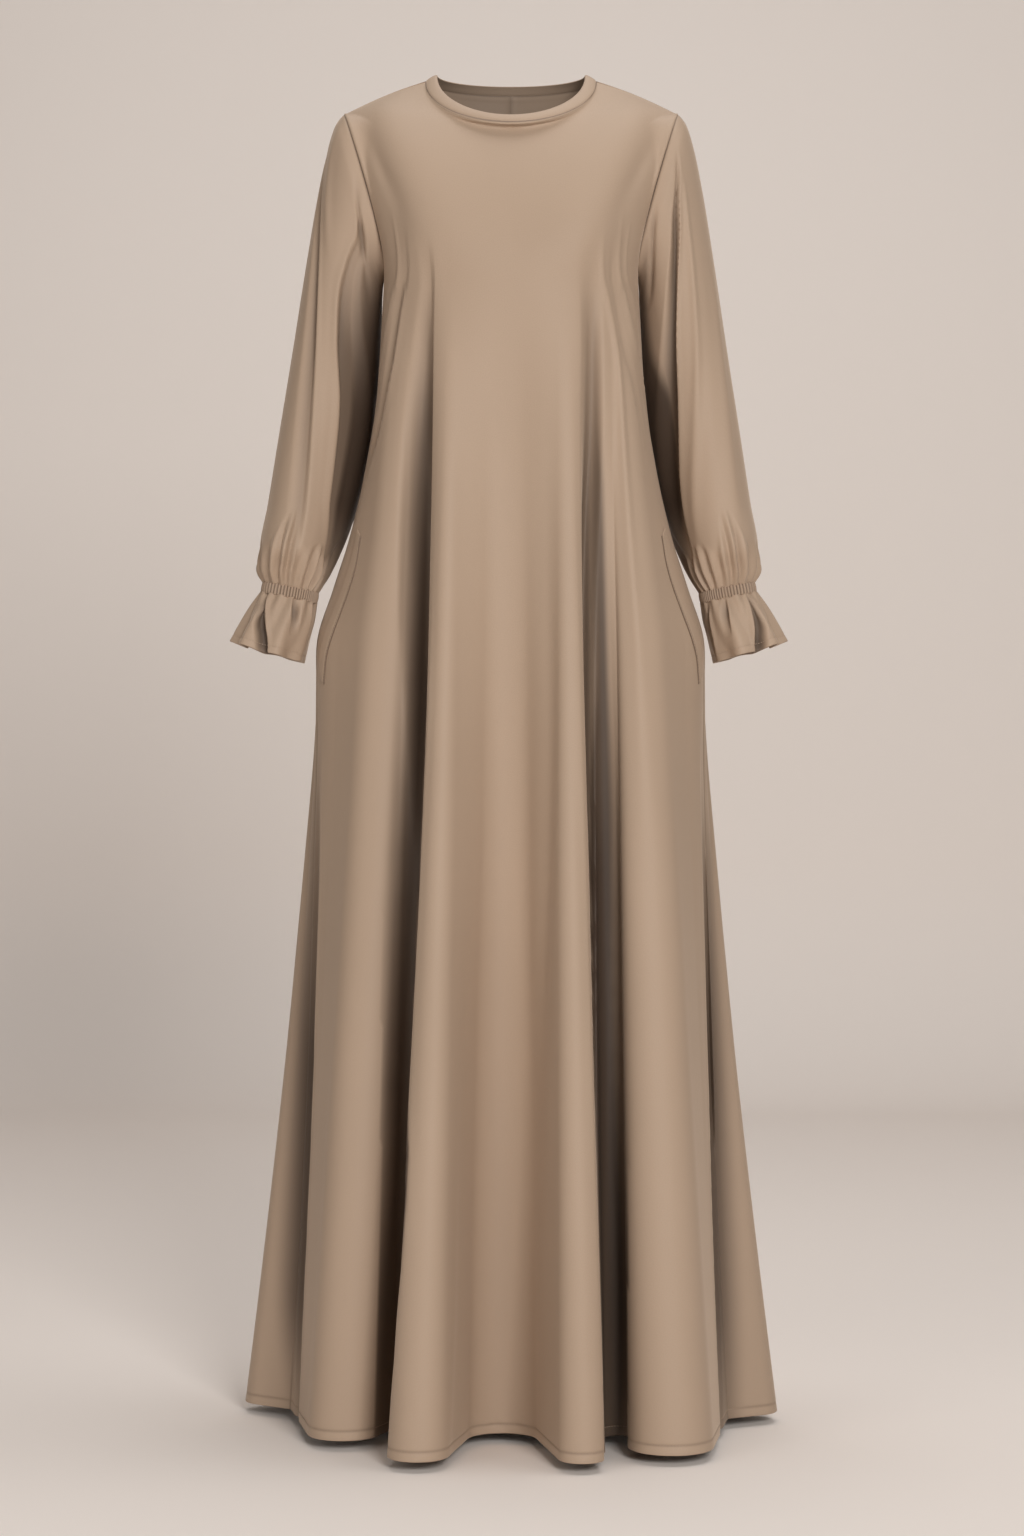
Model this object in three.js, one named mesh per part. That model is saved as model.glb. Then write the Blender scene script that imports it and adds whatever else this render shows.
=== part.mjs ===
// A long A-line abaya, filled out as if worn: a front, two back panels joined at the centre back,
// set-in bishop sleeves with elastic cuffs and ruffles, a bound round neck and side-seam pockets.
//
// Millimetres, +Z up, the front facing -Y and the wearer's left on +X. The origin lies midway
// between the two points where the shoulder seams meet the neckline, where the shoulders hold it.
// Every panel is a thin wall: its outer face is a grid of points, and its inner face is the same
// grid moved in by the thickness of the cloth.

import * as THREE from "three";

const cloth = {
  wall: 1.5, // one layer
  hemWall: 2.8, // the turned-up hem, two layers
  hemTurn: 14, // height of the turned-up hem
  bandWall: 2.6, // elastic in its casing
  bindingWall: 2.4, // binding folded over the neckline
  weltWall: 1.3,
  bagWall: 3, // two layers of the pocket bag lying together
  seamGap: 0.3,
};

// The body's cross-section at the bust line, where the skirt's folds start: half its width, its
// depth in front and behind the side seams' plane, and its squareness (2 would be an ellipse).
const bust = { z: -235, half: 137, front: 120, back: 97, square: 2.4 };
const hemHeight = -1436;

// The folds in order round the garment, from the centre back over the wearer's right side. At the
// hem each is an arc of radius r about (x, y), and straight cloth joins each arc to the next. A
// crest stands out of the skirt and a hollow stands in. turn is where the fold leaves the bust
// line, in degrees from the centre front. late is 1 if it spreads sideways evenly on its way
// down, and above 1 if most of that comes near the hem.
const folds = [
  { name: "centre back hollow", crest: false, x: -4, y: 166, r: 32, turn: -180, late: 1 },
  { name: "right back crest", crest: true, x: -74, y: 222, r: 34, turn: -169, late: 1.1 },
  { name: "right back hollow", crest: false, x: -124, y: 184, r: 15, turn: -157, late: 1.1 },
  { name: "right hip crest", crest: true, x: -184, y: 170, r: 36, turn: -141, late: 1.1 },
  { name: "right hip hollow", crest: false, x: -233, y: 128, r: 16, turn: -121, late: 1.1 },
  { name: "right side crest", crest: true, x: -262, y: 68, r: 29, turn: -105, late: 1.1 },
  { name: "right seam hollow", crest: false, x: -256, y: 5, r: 20, turn: -90, late: 1 },
  { name: "right outer crest", crest: true, x: -174, y: -112, r: 38, turn: -57, late: 1 },
  { name: "right deep hollow", crest: false, x: -112, y: -99, r: 14, turn: -38, late: 1.1 },
  { name: "right front crest", crest: true, x: -94, y: -222, r: 31, turn: -25, late: 1.5 },
  { name: "centre front hollow", crest: false, x: -9, y: -146, r: 36, turn: -1, late: 1 },
  { name: "left front crest", crest: true, x: 71, y: -236, r: 24, turn: 20, late: 1.3 },
  { name: "left deep hollow", crest: false, x: 111, y: -136, r: 15, turn: 36, late: 1.1 },
  { name: "left outer crest", crest: true, x: 163, y: -178, r: 44, turn: 57, late: 1 },
  { name: "left seam hollow", crest: false, x: 247, y: -46, r: 18, turn: 90, late: 1 },
  { name: "left side crest", crest: true, x: 258, y: 12, r: 29, turn: 105, late: 1.1 },
  { name: "left hip hollow", crest: false, x: 230, y: 98, r: 16, turn: 121, late: 1.1 },
  { name: "left hip crest", crest: true, x: 184, y: 160, r: 36, turn: 141, late: 1.1 },
  { name: "left back hollow", crest: false, x: 124, y: 180, r: 16, turn: 157, late: 1.1 },
  { name: "left back crest", crest: true, x: 68, y: 220, r: 33, turn: 169, late: 1.1 },
];
const depthGrowth = 1.05; // a fold's depth grows a little later than in a straight cone

// How far the hips and the pocket mouths hold the side seams out, at each height.
const hipSpread = 22; // degrees from the side seam at which this has faded to about a third
const hips = [
  { z: -235, out: 0 },
  { z: -340, out: -2 },
  { z: -425, out: 4 },
  { z: -494, out: 14 },
  { z: -550, out: 27 },
  { z: -611, out: 40 },
  { z: -649, out: 37 },
  { z: -735, out: 30 },
  { z: -833, out: 25 },
  { z: -943, out: 19 },
  { z: -1075, out: 12 },
  { z: -1262, out: 5 },
  { z: -1436, out: 0 },
];

// The round neck: the seam where the binding meets the body, and the binding's upper edge.
const neckSeam = { half: 92, front: 72, back: 62, side: -6, frontDrop: 57, backDrop: 3, crown: 0.4 };
const neckBrim = { half: 80.6, front: 66, back: 58, side: 1, frontDrop: 55.5, backDrop: 1 };
const shoulder = { x: 179, y: 3, z: -41, rise: 2.5 };
const armhole = { x: 134, z: -212, curl: 1.25, front: 48, back: 42, round: 0.8 };
const chestEase = { across: 1.4, deep: 2, overShoulder: 0.6 };
const chest = { x: 78, z: -190, rise: 6, wide: 48, tall: 55 };

// The fold lines that run up to the corners of the top edge, counted from the centre back.
const meets = {
  backNeckSide: 2,
  backShoulder: 3.5,
  seam: 6,
  frontShoulder: 8,
  frontNeckSide: 9,
  front: 10,
};

// The sleeve in the front view: its outer and inner edge, then half its depth from front to back,
// how far it lies behind the side seams' plane, and how much further back its inner edge lies,
// where it tucks in behind the body. at is how far down the sleeve a row lies.
const sleeveRows = [
  { at: 0, outX: 179, outZ: -41, inX: 134, inZ: -212, deep: 48, back: 0, inBack: 0 },
  { at: 0.05, outX: 188, outZ: -53, inX: 137, inZ: -221, deep: 52, back: 1, inBack: 6 },
  { at: 0.12, outX: 197, outZ: -80, inX: 138.5, inZ: -234, deep: 57, back: 5, inBack: 14 },
  { at: 0.22, outX: 207, outZ: -126, inX: 139.5, inZ: -262, deep: 62, back: 12, inBack: 22 },
  { at: 0.36, outX: 220, outZ: -202, inX: 140.5, inZ: -312, deep: 66, back: 20, inBack: 28 },
  { at: 0.52, outX: 235, outZ: -298, inX: 144.5, inZ: -368, deep: 69, back: 26, inBack: 32 },
  { at: 0.68, outX: 250, outZ: -393, inX: 155, inZ: -425, deep: 71, back: 27, inBack: 32 },
  { at: 0.8, outX: 260, outZ: -459, inX: 168, inZ: -472, deep: 71, back: 25, inBack: 28 },
  { at: 0.9, outX: 267.5, outZ: -506, inX: 184, inZ: -512, deep: 66, back: 19, inBack: 17 },
  { at: 0.96, outX: 267.5, outZ: -528, inX: 195, inZ: -538, deep: 47, back: 14, inBack: 8 },
  { at: 1, outX: 263, outZ: -543.5, inX: 204, inZ: -555.5, deep: 28, back: 10, inBack: 0 },
];
const ruffleRows = [
  { at: 0, outX: 265, outZ: -554.3, inX: 206, inZ: -566.3, deep: 28, back: 10, inBack: 0 },
  { at: 0.28, outX: 275, outZ: -570, inX: 208, inZ: -585, deep: 37, back: 12, inBack: 0 },
  { at: 0.64, outX: 285, outZ: -590, inX: 214, inZ: -608, deep: 46, back: 14, inBack: 0 },
  { at: 1, outX: 293, outZ: -609, inX: 220, inZ: -630, deep: 50, back: 15, inBack: 0 },
];

// Long soft ridges down a sleeve: where each lies round it, in degrees from its outer edge
// towards the front, at its upper end and its lower end.
const sleeveRidges = {
  right: [
    { turn: 28, endTurn: 40, top: 0.06, end: 0.93, rise: 5, spread: 15 },
    { turn: 62, endTurn: 92, top: 0.2, end: 0.97, rise: 5, spread: 17 },
    { turn: 120, endTurn: 130, top: 0.1, end: 0.9, rise: 4, spread: 16 },
    { turn: 235, endTurn: 240, top: 0.1, end: 0.95, rise: 5, spread: 18 },
    { turn: 300, endTurn: 290, top: 0.1, end: 0.95, rise: 5, spread: 18 },
  ],
  left: [
    { turn: 20, endTurn: 34, top: 0.05, end: 0.93, rise: 5, spread: 15 },
    { turn: 52, endTurn: 66, top: 0.12, end: 0.9, rise: 6, spread: 15 },
    { turn: 108, endTurn: 122, top: 0.14, end: 0.95, rise: 4, spread: 17 },
    { turn: 230, endTurn: 244, top: 0.1, end: 0.95, rise: 5, spread: 18 },
    { turn: 305, endTurn: 290, top: 0.1, end: 0.95, rise: 5, spread: 18 },
  ],
};
const swing = { right: 4, left: -1 }; // how much further out each sleeve hangs than the rows say
const sleeveGathers = { start: 0.84, rise: 2.6, atBand: 1.2 };
const bandRibs = { count: 28, rise: 0.5 };
const ruffle = { pinches: 14, pinchRise: 1.3, waves: 7, waveRise: 7.5, innerShare: 0.3 };

// Column places within the stretch of cloth between one fold and the next.
const evenFifths = [0, 0.2, 0.4, 0.6, 0.8];
const evenQuarters = [0, 0.25, 0.5, 0.75];
const afterSeam = [0, 0.15, 0.36, 0.57, 0.78]; // the first strip beside the seam is the welt's
const beforeSeam = [0, 0.22, 0.43, 0.64, 0.85];
const ringSteps = 56; // round the cuff band and the ruffle
const yokeRows = [0, 0.1, 0.24, 0.44, 0.7, 1];
const pocket = { top: -494, end: -649, bagTop: -460, bagEnd: -740, bagColumns: 7 };
const skirtRows = [
  -290, -350, -408, pocket.bagTop, pocket.top, -550, -600, pocket.end, pocket.bagEnd, -865,
  -1005, -1150, -1295, hemHeight + cloth.hemTurn + 1, hemHeight + cloth.hemTurn, hemHeight,
];

const taupe = { color: 0xa08c7a, roughness: 0.55, metalness: 0 };
const taupeBand = { color: 0x9c8774, roughness: 0.62, metalness: 0 };
const taupeInside = { color: 0x8f7c6b, roughness: 0.6, metalness: 0 };

const degree = Math.PI / 180;
const mix = (a, b, t) => a + (b - a) * t;
const clamp = (value, low, high) => Math.min(high, Math.max(low, value));
const smooth = (t) => t * t * (3 - 2 * t);
const vector = (x, y, z) => new THREE.Vector3(x, y, z);
const moved = (point, direction, distance) => point.clone().addScaledVector(direction, distance);

// A smooth curve through the given values that never overshoots them (a monotone cubic).
function smoothThrough(at, value) {
  const slopes = at.slice(1).map((next, i) => (value[i + 1] - value[i]) / (next - at[i]));
  const tangents = at.map((_, i) => {
    if (i === 0) return slopes[0];
    if (i === slopes.length) return slopes[i - 1];
    const product = slopes[i - 1] * slopes[i];
    return product <= 0 ? 0 : (2 * product) / (slopes[i - 1] + slopes[i]);
  });
  return (x) => {
    let i = 0;
    while (i < slopes.length - 1 && x > at[i + 1]) i += 1;
    const span = at[i + 1] - at[i];
    const t = clamp((x - at[i]) / span, 0, 1);
    const bend = tangents[i] * t * (1 - t) ** 2 - tangents[i + 1] * t * t * (1 - t);
    return mix(value[i], value[i + 1], smooth(t)) + span * bend;
  };
}

// The hem's plan: arcs and the straight lines that touch each arc and the next

const side = (fold) => (fold.crest ? 1 : -1);
const foldAt = (i) => folds[(i + folds.length) % folds.length];

// An angle brought to between nothing and a full turn.
const fullTurn = (angle) => ((angle % (2 * Math.PI)) + 2 * Math.PI) % (2 * Math.PI);

// The direction of the straight line that leaves one fold's arc and meets the next one's.
function headingBetween(a, b) {
  const apart = Math.hypot(b.x - a.x, b.y - a.y);
  const lean = Math.asin((side(a) * a.r - side(b) * b.r) / apart);
  return Math.atan2(b.y - a.y, b.x - a.x) + lean;
}

function arcPoint(fold, heading) {
  const reach = side(fold) * fold.r;
  return { x: fold.x + reach * Math.sin(heading), y: fold.y - reach * Math.cos(heading) };
}

// A point of the hem. Its place is counted in folds, and a whole number is the middle of an arc.
function hemPoint(place) {
  const i = Math.round(place);
  const fold = foldAt(i);
  const arriving = headingBetween(foldAt(i - 1), fold);
  const leaving = headingBetween(fold, foldAt(i + 1));
  const turned = side(fold) * fullTurn(side(fold) * (leaving - arriving));
  const forward = place >= i ? 1 : -1;
  const heading = forward > 0 ? leaving : arriving;
  const neighbour = foldAt(i + forward);
  const arcEnd = arcPoint(fold, heading);
  const otherEnd = arcPoint(neighbour, heading);
  const halfArc = (Math.abs(turned) * fold.r) / 2;
  const halfLine = Math.hypot(otherEnd.x - arcEnd.x, otherEnd.y - arcEnd.y) / 2;
  const along = 2 * Math.abs(place - i) * (halfArc + halfLine);
  if (along < halfArc) {
    const middle = arriving + turned / 2;
    return arcPoint(fold, middle + (forward * turned * along) / halfArc / 2);
  }
  const past = forward * (along - halfArc);
  return { x: arcEnd.x + past * Math.cos(heading), y: arcEnd.y + past * Math.sin(heading) };
}

const places = [...folds.keys(), folds.length];
const turnAt = smoothThrough(places, [...folds.map((fold) => fold.turn), 180]);
const lateAt = smoothThrough(places, [...folds.map((fold) => fold.late), folds[0].late]);
const hipsAt = smoothThrough(hips.map((row) => -row.z), hips.map((row) => row.out));

// Body: the bust line, the skirt below it and the yoke above it

function bustPoint(place) {
  const turn = turnAt(place) * degree;
  const power = 2 / bust.square;
  const across = Math.sin(turn);
  const along = -Math.cos(turn);
  const deep = along < 0 ? bust.front : bust.back;
  return {
    x: bust.half * Math.sign(across) * Math.abs(across) ** power,
    y: deep * Math.sign(along) * Math.abs(along) ** power,
  };
}

// The skirt runs from the bust line to the hem's plan, held out at the hips.
function skirtPoint(place, z) {
  const down = (bust.z - z) / (bust.z - hemHeight);
  const above = bustPoint(place);
  const below = hemPoint(place);
  const fromSeam = (Math.abs(turnAt(place)) - 90) / hipSpread;
  const held = hipsAt(-z) * Math.exp(-fromSeam * fromSeam) * Math.sign(above.x);
  const x = mix(above.x, below.x, down ** lateAt(place)) + held;
  return vector(x, mix(above.y, below.y, down ** depthGrowth), z);
}

// Half an ellipse on a slope, from the centre of the neck (0) to its side (1).
function neckPoint(line, across, front) {
  const angle = (across * Math.PI) / 2;
  const deep = front ? -line.front : line.back;
  const drop = front ? line.frontDrop : line.backDrop;
  const z = line.side - drop * Math.cos(angle);
  return vector(line.half * Math.sin(angle), deep * Math.cos(angle), z);
}

// From the side of the neck (0) to the shoulder point (1).
function shoulderPoint(out) {
  const lift = shoulder.rise * Math.sin(Math.PI * out);
  const z = mix(neckSeam.side, shoulder.z, out) + lift;
  return vector(mix(neckSeam.half, shoulder.x, out), shoulder.y * out, z);
}

// From the shoulder point (0) down the front or back of the armhole to the underarm (1).
function armholePoint(down, front) {
  const angle = Math.PI * down;
  const fallen = (1 - Math.cos(angle)) / 2;
  const deep = front ? -armhole.front : armhole.back;
  const x = mix(shoulder.x, armhole.x, 1 - (1 - fallen) ** armhole.curl);
  const y = shoulder.y * (1 - fallen) + deep * Math.sin(angle) ** armhole.round;
  return vector(x, y, mix(shoulder.z, armhole.z, fallen));
}

// The part of the top edge that a place lies on, and how far along it.
function topPart(place) {
  const m = place <= meets.front ? place : 2 * meets.front - place;
  const share = (low, high) => (m - low) / (high - low);
  if (m < meets.backNeckSide) {
    return { part: "neck", front: false, along: share(0, meets.backNeckSide) };
  }
  if (m <= meets.backShoulder) {
    return { part: "shoulder", front: false, along: share(meets.backNeckSide, meets.backShoulder) };
  }
  if (m < meets.seam) {
    return { part: "armhole", front: false, along: share(meets.backShoulder, meets.seam) };
  }
  if (m < meets.frontShoulder) {
    return { part: "armhole", front: true, along: 1 - share(meets.seam, meets.frontShoulder) };
  }
  if (m <= meets.frontNeckSide) {
    const along = 1 - share(meets.frontShoulder, meets.frontNeckSide);
    return { part: "shoulder", front: true, along };
  }
  return { part: "neck", front: true, along: 1 - share(meets.frontNeckSide, meets.front) };
}

function topPoint(place) {
  const { part, front, along } = topPart(place);
  const neckSeamPoint = (across, inFront) => neckPoint(neckSeam, across, inFront);
  const make = { neck: neckSeamPoint, shoulder: shoulderPoint, armhole: armholePoint };
  const point = make[part](along, front);
  if (place < meets.front) point.x *= -1;
  return point;
}

// The yoke runs from the top edge to the bust line. It starts on a slope at the neck, and nearly
// level at the shoulder point, where it rounds over to the chest or the back.
function yokePoint(place, down) {
  const above = topPoint(place);
  const below = bustPoint(place);
  const { part, along } = topPart(place);
  const nearPoint = { neck: 0, shoulder: smooth(along), armhole: (1 - along) ** 2 }[part];
  const fallen = down ** (1 + chestEase.overShoulder * nearPoint);
  const x = mix(above.x, below.x, 1 - (1 - down) ** chestEase.across);
  const y = mix(above.y, below.y, 1 - (1 - down) ** chestEase.deep);
  return vector(x, y, mix(above.z, bust.z, fallen));
}

// A low round rise on each side of the chest.
function withChest(point) {
  const across = (Math.abs(point.x) - chest.x) / chest.wide;
  const along = (point.z - chest.z) / chest.tall;
  const facing = clamp(-point.y / bust.front, 0, 1);
  point.y -= chest.rise * facing * Math.exp(-across * across - along * along);
  return point;
}

// Grids and walls

const before = (i, count, closed) => (closed ? (i + count - 1) % count : Math.max(i - 1, 0));
const after = (i, count, closed) => (closed ? (i + 1) % count : Math.min(i + 1, count - 1));

// The outward direction at each point of a grid whose rows run down and whose columns run round
// counter-clockwise as seen from above, or clockwise where outward is -1.
function gridNormals(grid, closed, outward = 1) {
  const rows = grid.length;
  const columns = grid[0].length;
  return grid.map((row, r) => row.map((_, c) => {
    const acrossEnd = row[after(c, columns, closed)];
    const across = acrossEnd.clone().sub(row[before(c, columns, closed)]);
    const down = grid[after(r, rows, false)][c].clone().sub(grid[before(r, rows, false)][c]);
    return down.cross(across).normalize().multiplyScalar(outward);
  }));
}

const offsetGrid = (grid, normals, distance) =>
  grid.map((row, r) => row.map((point, c) => moved(point, normals[r][c], distance(r, c))));

// A closed body between an outer and an inner grid. A closed grid is a tube, open at both ends.
function wallMesh(name, finish, outer, inner, closed) {
  const rows = outer.length;
  const columns = outer[0].length;
  const points = [...outer.flat(), ...inner.flat()];
  const innerStart = rows * columns;
  const at = (r, c) => r * columns + (c % columns);
  const index = [];
  const quad = (a, b, c, d) => index.push(a, b, c, a, c, d);
  const lastColumn = closed ? columns : columns - 1;
  for (let r = 0; r < rows - 1; r += 1) {
    for (let c = 0; c < lastColumn; c += 1) {
      const [a, b, d, e] = [at(r, c), at(r + 1, c), at(r + 1, c + 1), at(r, c + 1)];
      quad(a, b, d, e);
      quad(innerStart + d, innerStart + b, innerStart + a, innerStart + e);
    }
  }
  for (let c = 0; c < lastColumn; c += 1) {
    const [a, b] = [at(0, c), at(0, c + 1)];
    const [d, e] = [at(rows - 1, c), at(rows - 1, c + 1)];
    quad(a, b, innerStart + b, innerStart + a);
    quad(d, innerStart + d, innerStart + e, e);
  }
  for (let r = 0; r < rows - 1 && !closed; r += 1) {
    const [a, b] = [at(r, 0), at(r + 1, 0)];
    const [d, e] = [at(r, columns - 1), at(r + 1, columns - 1)];
    quad(b, a, innerStart + a, innerStart + b);
    quad(d, e, innerStart + e, innerStart + d);
  }
  const geometry = new THREE.BufferGeometry().setFromPoints(points);
  geometry.setIndex(volumeOf(points, index) < 0 ? index.reverse() : index);
  geometry.computeVertexNormals();
  const mesh = new THREE.Mesh(geometry, new THREE.MeshStandardMaterial(finish));
  mesh.name = name;
  return mesh;
}

function volumeOf(points, index) {
  let total = 0;
  for (let i = 0; i < index.length; i += 3) {
    const [a, b, c] = [points[index[i]], points[index[i + 1]], points[index[i + 2]]];
    total += a.dot(b.clone().cross(c)) / 6;
  }
  return total;
}

// The whole body as one grid, closed round the garment

function columnPlaces() {
  const list = [];
  for (let fold = 0; fold < folds.length; fold += 1) {
    const m = fold < meets.front ? fold : 2 * meets.front - fold - 1;
    const beside = fold < meets.front ? afterSeam : beforeSeam;
    const steps = m < meets.seam ? evenQuarters : m === meets.seam ? beside : evenFifths;
    list.push(...steps.map((step) => fold + step));
  }
  return list;
}

const bodyPlaces = columnPlaces();
const columnOf = (place) => bodyPlaces.findIndex((p) => Math.abs(p - place) < 1e-9);
const bodyOuter = [
  ...yokeRows.map((down) => bodyPlaces.map((place) => withChest(yokePoint(place, down)))),
  ...skirtRows.map((z) => bodyPlaces.map((place) => withChest(skirtPoint(place, z)))),
];
const rowOf = (z) => yokeRows.length + skirtRows.indexOf(z);
const firstHemRow = rowOf(hemHeight + cloth.hemTurn);
const bodyNormals = gridNormals(bodyOuter, true);

// Along the shoulder seam both walls stand square to the shoulder's slope, so they meet flush.
const slope = Math.atan2(neckSeam.side - shoulder.z, shoulder.x - neckSeam.half);
bodyPlaces.forEach((place, c) => {
  if (topPart(place).part !== "shoulder") return;
  const sign = Math.sign(bodyOuter[0][c].x);
  bodyNormals[0][c].set(sign * Math.sin(slope), 0, Math.cos(slope));
});
const wallAt = (r) => (r < firstHemRow ? cloth.wall : cloth.hemWall);
const bodyInner = offsetGrid(bodyOuter, bodyNormals, (r) => -wallAt(r));

// One panel is a run of the body's columns, with half the seam's gap taken off at its edges.
function panelGrids(first, last) {
  const columns = [];
  for (let c = first; c <= last; c += 1) columns.push(c % bodyPlaces.length);
  const front = topPart(bodyPlaces[columns[1]]).front;
  const trim = (grid) => grid.map((row, r) => columns.map((c, i) => {
    const point = row[c].clone();
    if (i === 0 || i === columns.length - 1) {
      const inward = row[columns[i === 0 ? 1 : i - 1]].clone().sub(row[c]).normalize();
      point.addScaledVector(inward, cloth.seamGap / 2);
    }
    if (r === 0 && topPart(bodyPlaces[c]).part === "shoulder") {
      point.y += ((front ? -1 : 1) * cloth.seamGap) / 2;
    }
    return point;
  }));
  return { outer: trim(bodyOuter), inner: trim(bodyInner) };
}

const seamRight = columnOf(meets.seam);
const seamLeft = columnOf(2 * meets.front - meets.seam);
const front = panelGrids(seamRight, seamLeft);
const backRight = panelGrids(0, seamRight);
const backLeft = panelGrids(seamLeft, bodyPlaces.length);

// Seams to the pieces that are sewn to the top edge

const edgeCorner = (c, angle = 0) => ({
  angle,
  point: bodyOuter[0][c],
  inner: bodyInner[0][c],
  normal: bodyNormals[0][c],
  down: bodyOuter[1][c].clone().sub(bodyOuter[0][c]),
  place: bodyPlaces[c],
});

// For each corner of a closed edge, the direction that leads over the seam from the body into
// the next piece, whose own direction away from the seam is next.
function acrossSeam(corners, next) {
  return corners.map((corner, i) => {
    const ahead = corners[(i + 1) % corners.length].point;
    const behind = corners[(i + corners.length - 1) % corners.length].point;
    const tangent = ahead.clone().sub(behind).normalize();
    const away = next[i].clone().addScaledVector(tangent, -next[i].dot(tangent)).normalize();
    const back = corner.normal.clone().cross(tangent).normalize();
    return away.addScaledVector(back, -Math.sign(back.dot(corner.down))).normalize();
  });
}

// Sleeves

function ringPoint(row, angle, sign, shift) {
  const out = (1 + Math.cos(angle)) / 2;
  const x = mix(row.inX, row.outX, out) + shift * row.at;
  const y = row.back + row.inBack * (1 - out) - row.deep * Math.sin(angle);
  return vector(sign * x, y, mix(row.inZ, row.outZ, out));
}

// The outward direction within the ring's own plane.
function ringNormal(row, angle, sign) {
  const wide = vector(sign * (row.outX - row.inX), 0, row.outZ - row.inZ);
  const half = wide.length() / 2;
  wide.normalize().multiplyScalar(Math.cos(angle) / half);
  return wide.add(vector(0, -Math.sin(angle) / row.deep, 0)).normalize();
}

// The armhole's edge as the sleeve meets it, down the front and up the back, with each stretch
// of the body's edge halved.
function armholeEdge(sign) {
  const column = (place) => columnOf(sign < 0 ? place : 2 * meets.front - place);
  const between = (low, high) => bodyPlaces.filter((p) => p > low - 0.01 && p < high + 0.01).reverse();
  const frontSpan = meets.frontShoulder - meets.seam;
  const backSpan = meets.seam - meets.backShoulder;
  const corners = [
    ...between(meets.seam, meets.frontShoulder)
      .map((p) => edgeCorner(column(p), (Math.PI * (meets.frontShoulder - p)) / frontSpan)),
    ...between(meets.backShoulder, meets.seam).slice(1, -1)
      .map((p) => edgeCorner(column(p), Math.PI * (1 + (meets.seam - p) / backSpan))),
  ];
  return corners.flatMap((corner, i) => {
    const next = corners[(i + 1) % corners.length];
    const nextAngle = next.angle > corner.angle ? next.angle : 2 * Math.PI;
    const half = { angle: (corner.angle + nextAngle) / 2 };
    for (const key of ["point", "inner", "normal", "down"]) {
      half[key] = corner[key].clone().add(next[key]).multiplyScalar(0.5);
    }
    return [corner, half];
  });
}

const within = (value, low, high, fade) =>
  smooth(clamp((value - low) / fade, 0, 1)) * smooth(clamp((high - value) / fade, 0, 1));

function ridgeRise(ridges, at, angle) {
  let rise = 0;
  for (const ridge of ridges) {
    const along = clamp((at - ridge.top) / (ridge.end - ridge.top), 0, 1);
    const turn = mix(ridge.turn, ridge.endTurn, along);
    const off = (((angle / degree - turn + 540) % 360) - 180) / ridge.spread;
    rise += ridge.rise * Math.exp(-off * off) * within(at, ridge.top, ridge.end, 0.15);
  }
  return rise;
}

// The gathers above the band alternate from column to column.
function gatherRise(at, c) {
  const down = (at - sleeveGathers.start) / (1 - sleeveGathers.start);
  if (down <= 0) return 0;
  const amount = sleeveGathers.rise * Math.sin(Math.PI * down) + sleeveGathers.atBand * down;
  return c % 2 === 0 ? amount : -amount;
}

function makeSleeve(name, sign) {
  const edge = armholeEdge(sign);
  const shift = swing[name];
  const base = sleeveRows.map((row) => edge.map((corner) => ringPoint(row, corner.angle, sign, shift)));
  base[0] = edge.map((corner) => corner.point.clone());
  const normals = gridNormals(base, true, -sign);
  normals[normals.length - 1] = edge.map(({ angle }) => ringNormal(sleeveRows.at(-1), angle, sign));
  const over = acrossSeam(edge, base[1].map((point, c) => point.clone().sub(base[0][c])));
  const rise = (r, c) => {
    const { at } = sleeveRows[r];
    return ridgeRise(sleeveRidges[name], at, edge[c].angle) + gatherRise(at, c);
  };
  const outer = offsetGrid(base, normals, (r, c) => (r === 0 ? 0 : rise(r, c)));
  const inner = offsetGrid(outer, normals, () => -cloth.wall);
  edge.forEach((corner, c) => {
    const folded = base[1][c].clone().sub(base[0][c]).dot(corner.normal) < 0;
    outer[0][c] = moved(corner.point, over[c], cloth.seamGap);
    if (folded) inner[0][c] = moved(corner.inner, over[c], cloth.seamGap);
    else inner[0][c] = moved(outer[0][c], normals[0][c], -cloth.wall);
  });
  return wallMesh(`sleeve_${name}`, taupe, outer, inner, true);
}

// Cuff band and ruffle

const ringAngles = Array.from({ length: ringSteps }, (_, c) => (2 * Math.PI * c) / ringSteps);

function ringGrid(rows, sign, shift) {
  return rows.map((row) => ringAngles.map((angle) => ringPoint(row, angle, sign, shift)));
}

function mixRows(a, b, t) {
  const row = {};
  for (const key of Object.keys(a)) row[key] = mix(a[key], b[key], t);
  return row;
}

function makeBand(name, sign) {
  const upper = sleeveRows.at(-1);
  const lower = { ...ruffleRows[0], at: 1 };
  const gap = cloth.seamGap / Math.hypot(lower.outX - upper.outX, lower.outZ - upper.outZ);
  const rows = [gap, 0.5, 1 - gap].map((t) => mixRows(upper, lower, t));
  const base = ringGrid(rows, sign, swing[name]);
  const normals = rows.map((row) => ringAngles.map((angle) => ringNormal(row, angle, sign)));
  const ribStep = ringSteps / bandRibs.count;
  const outer = offsetGrid(base, normals, (r, c) => (c % ribStep === 0 ? bandRibs.rise : 0));
  const inner = offsetGrid(base, normals, () => -cloth.bandWall);
  return wallMesh(`cuff_band_${name}`, taupeBand, outer, inner, true);
}

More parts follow.
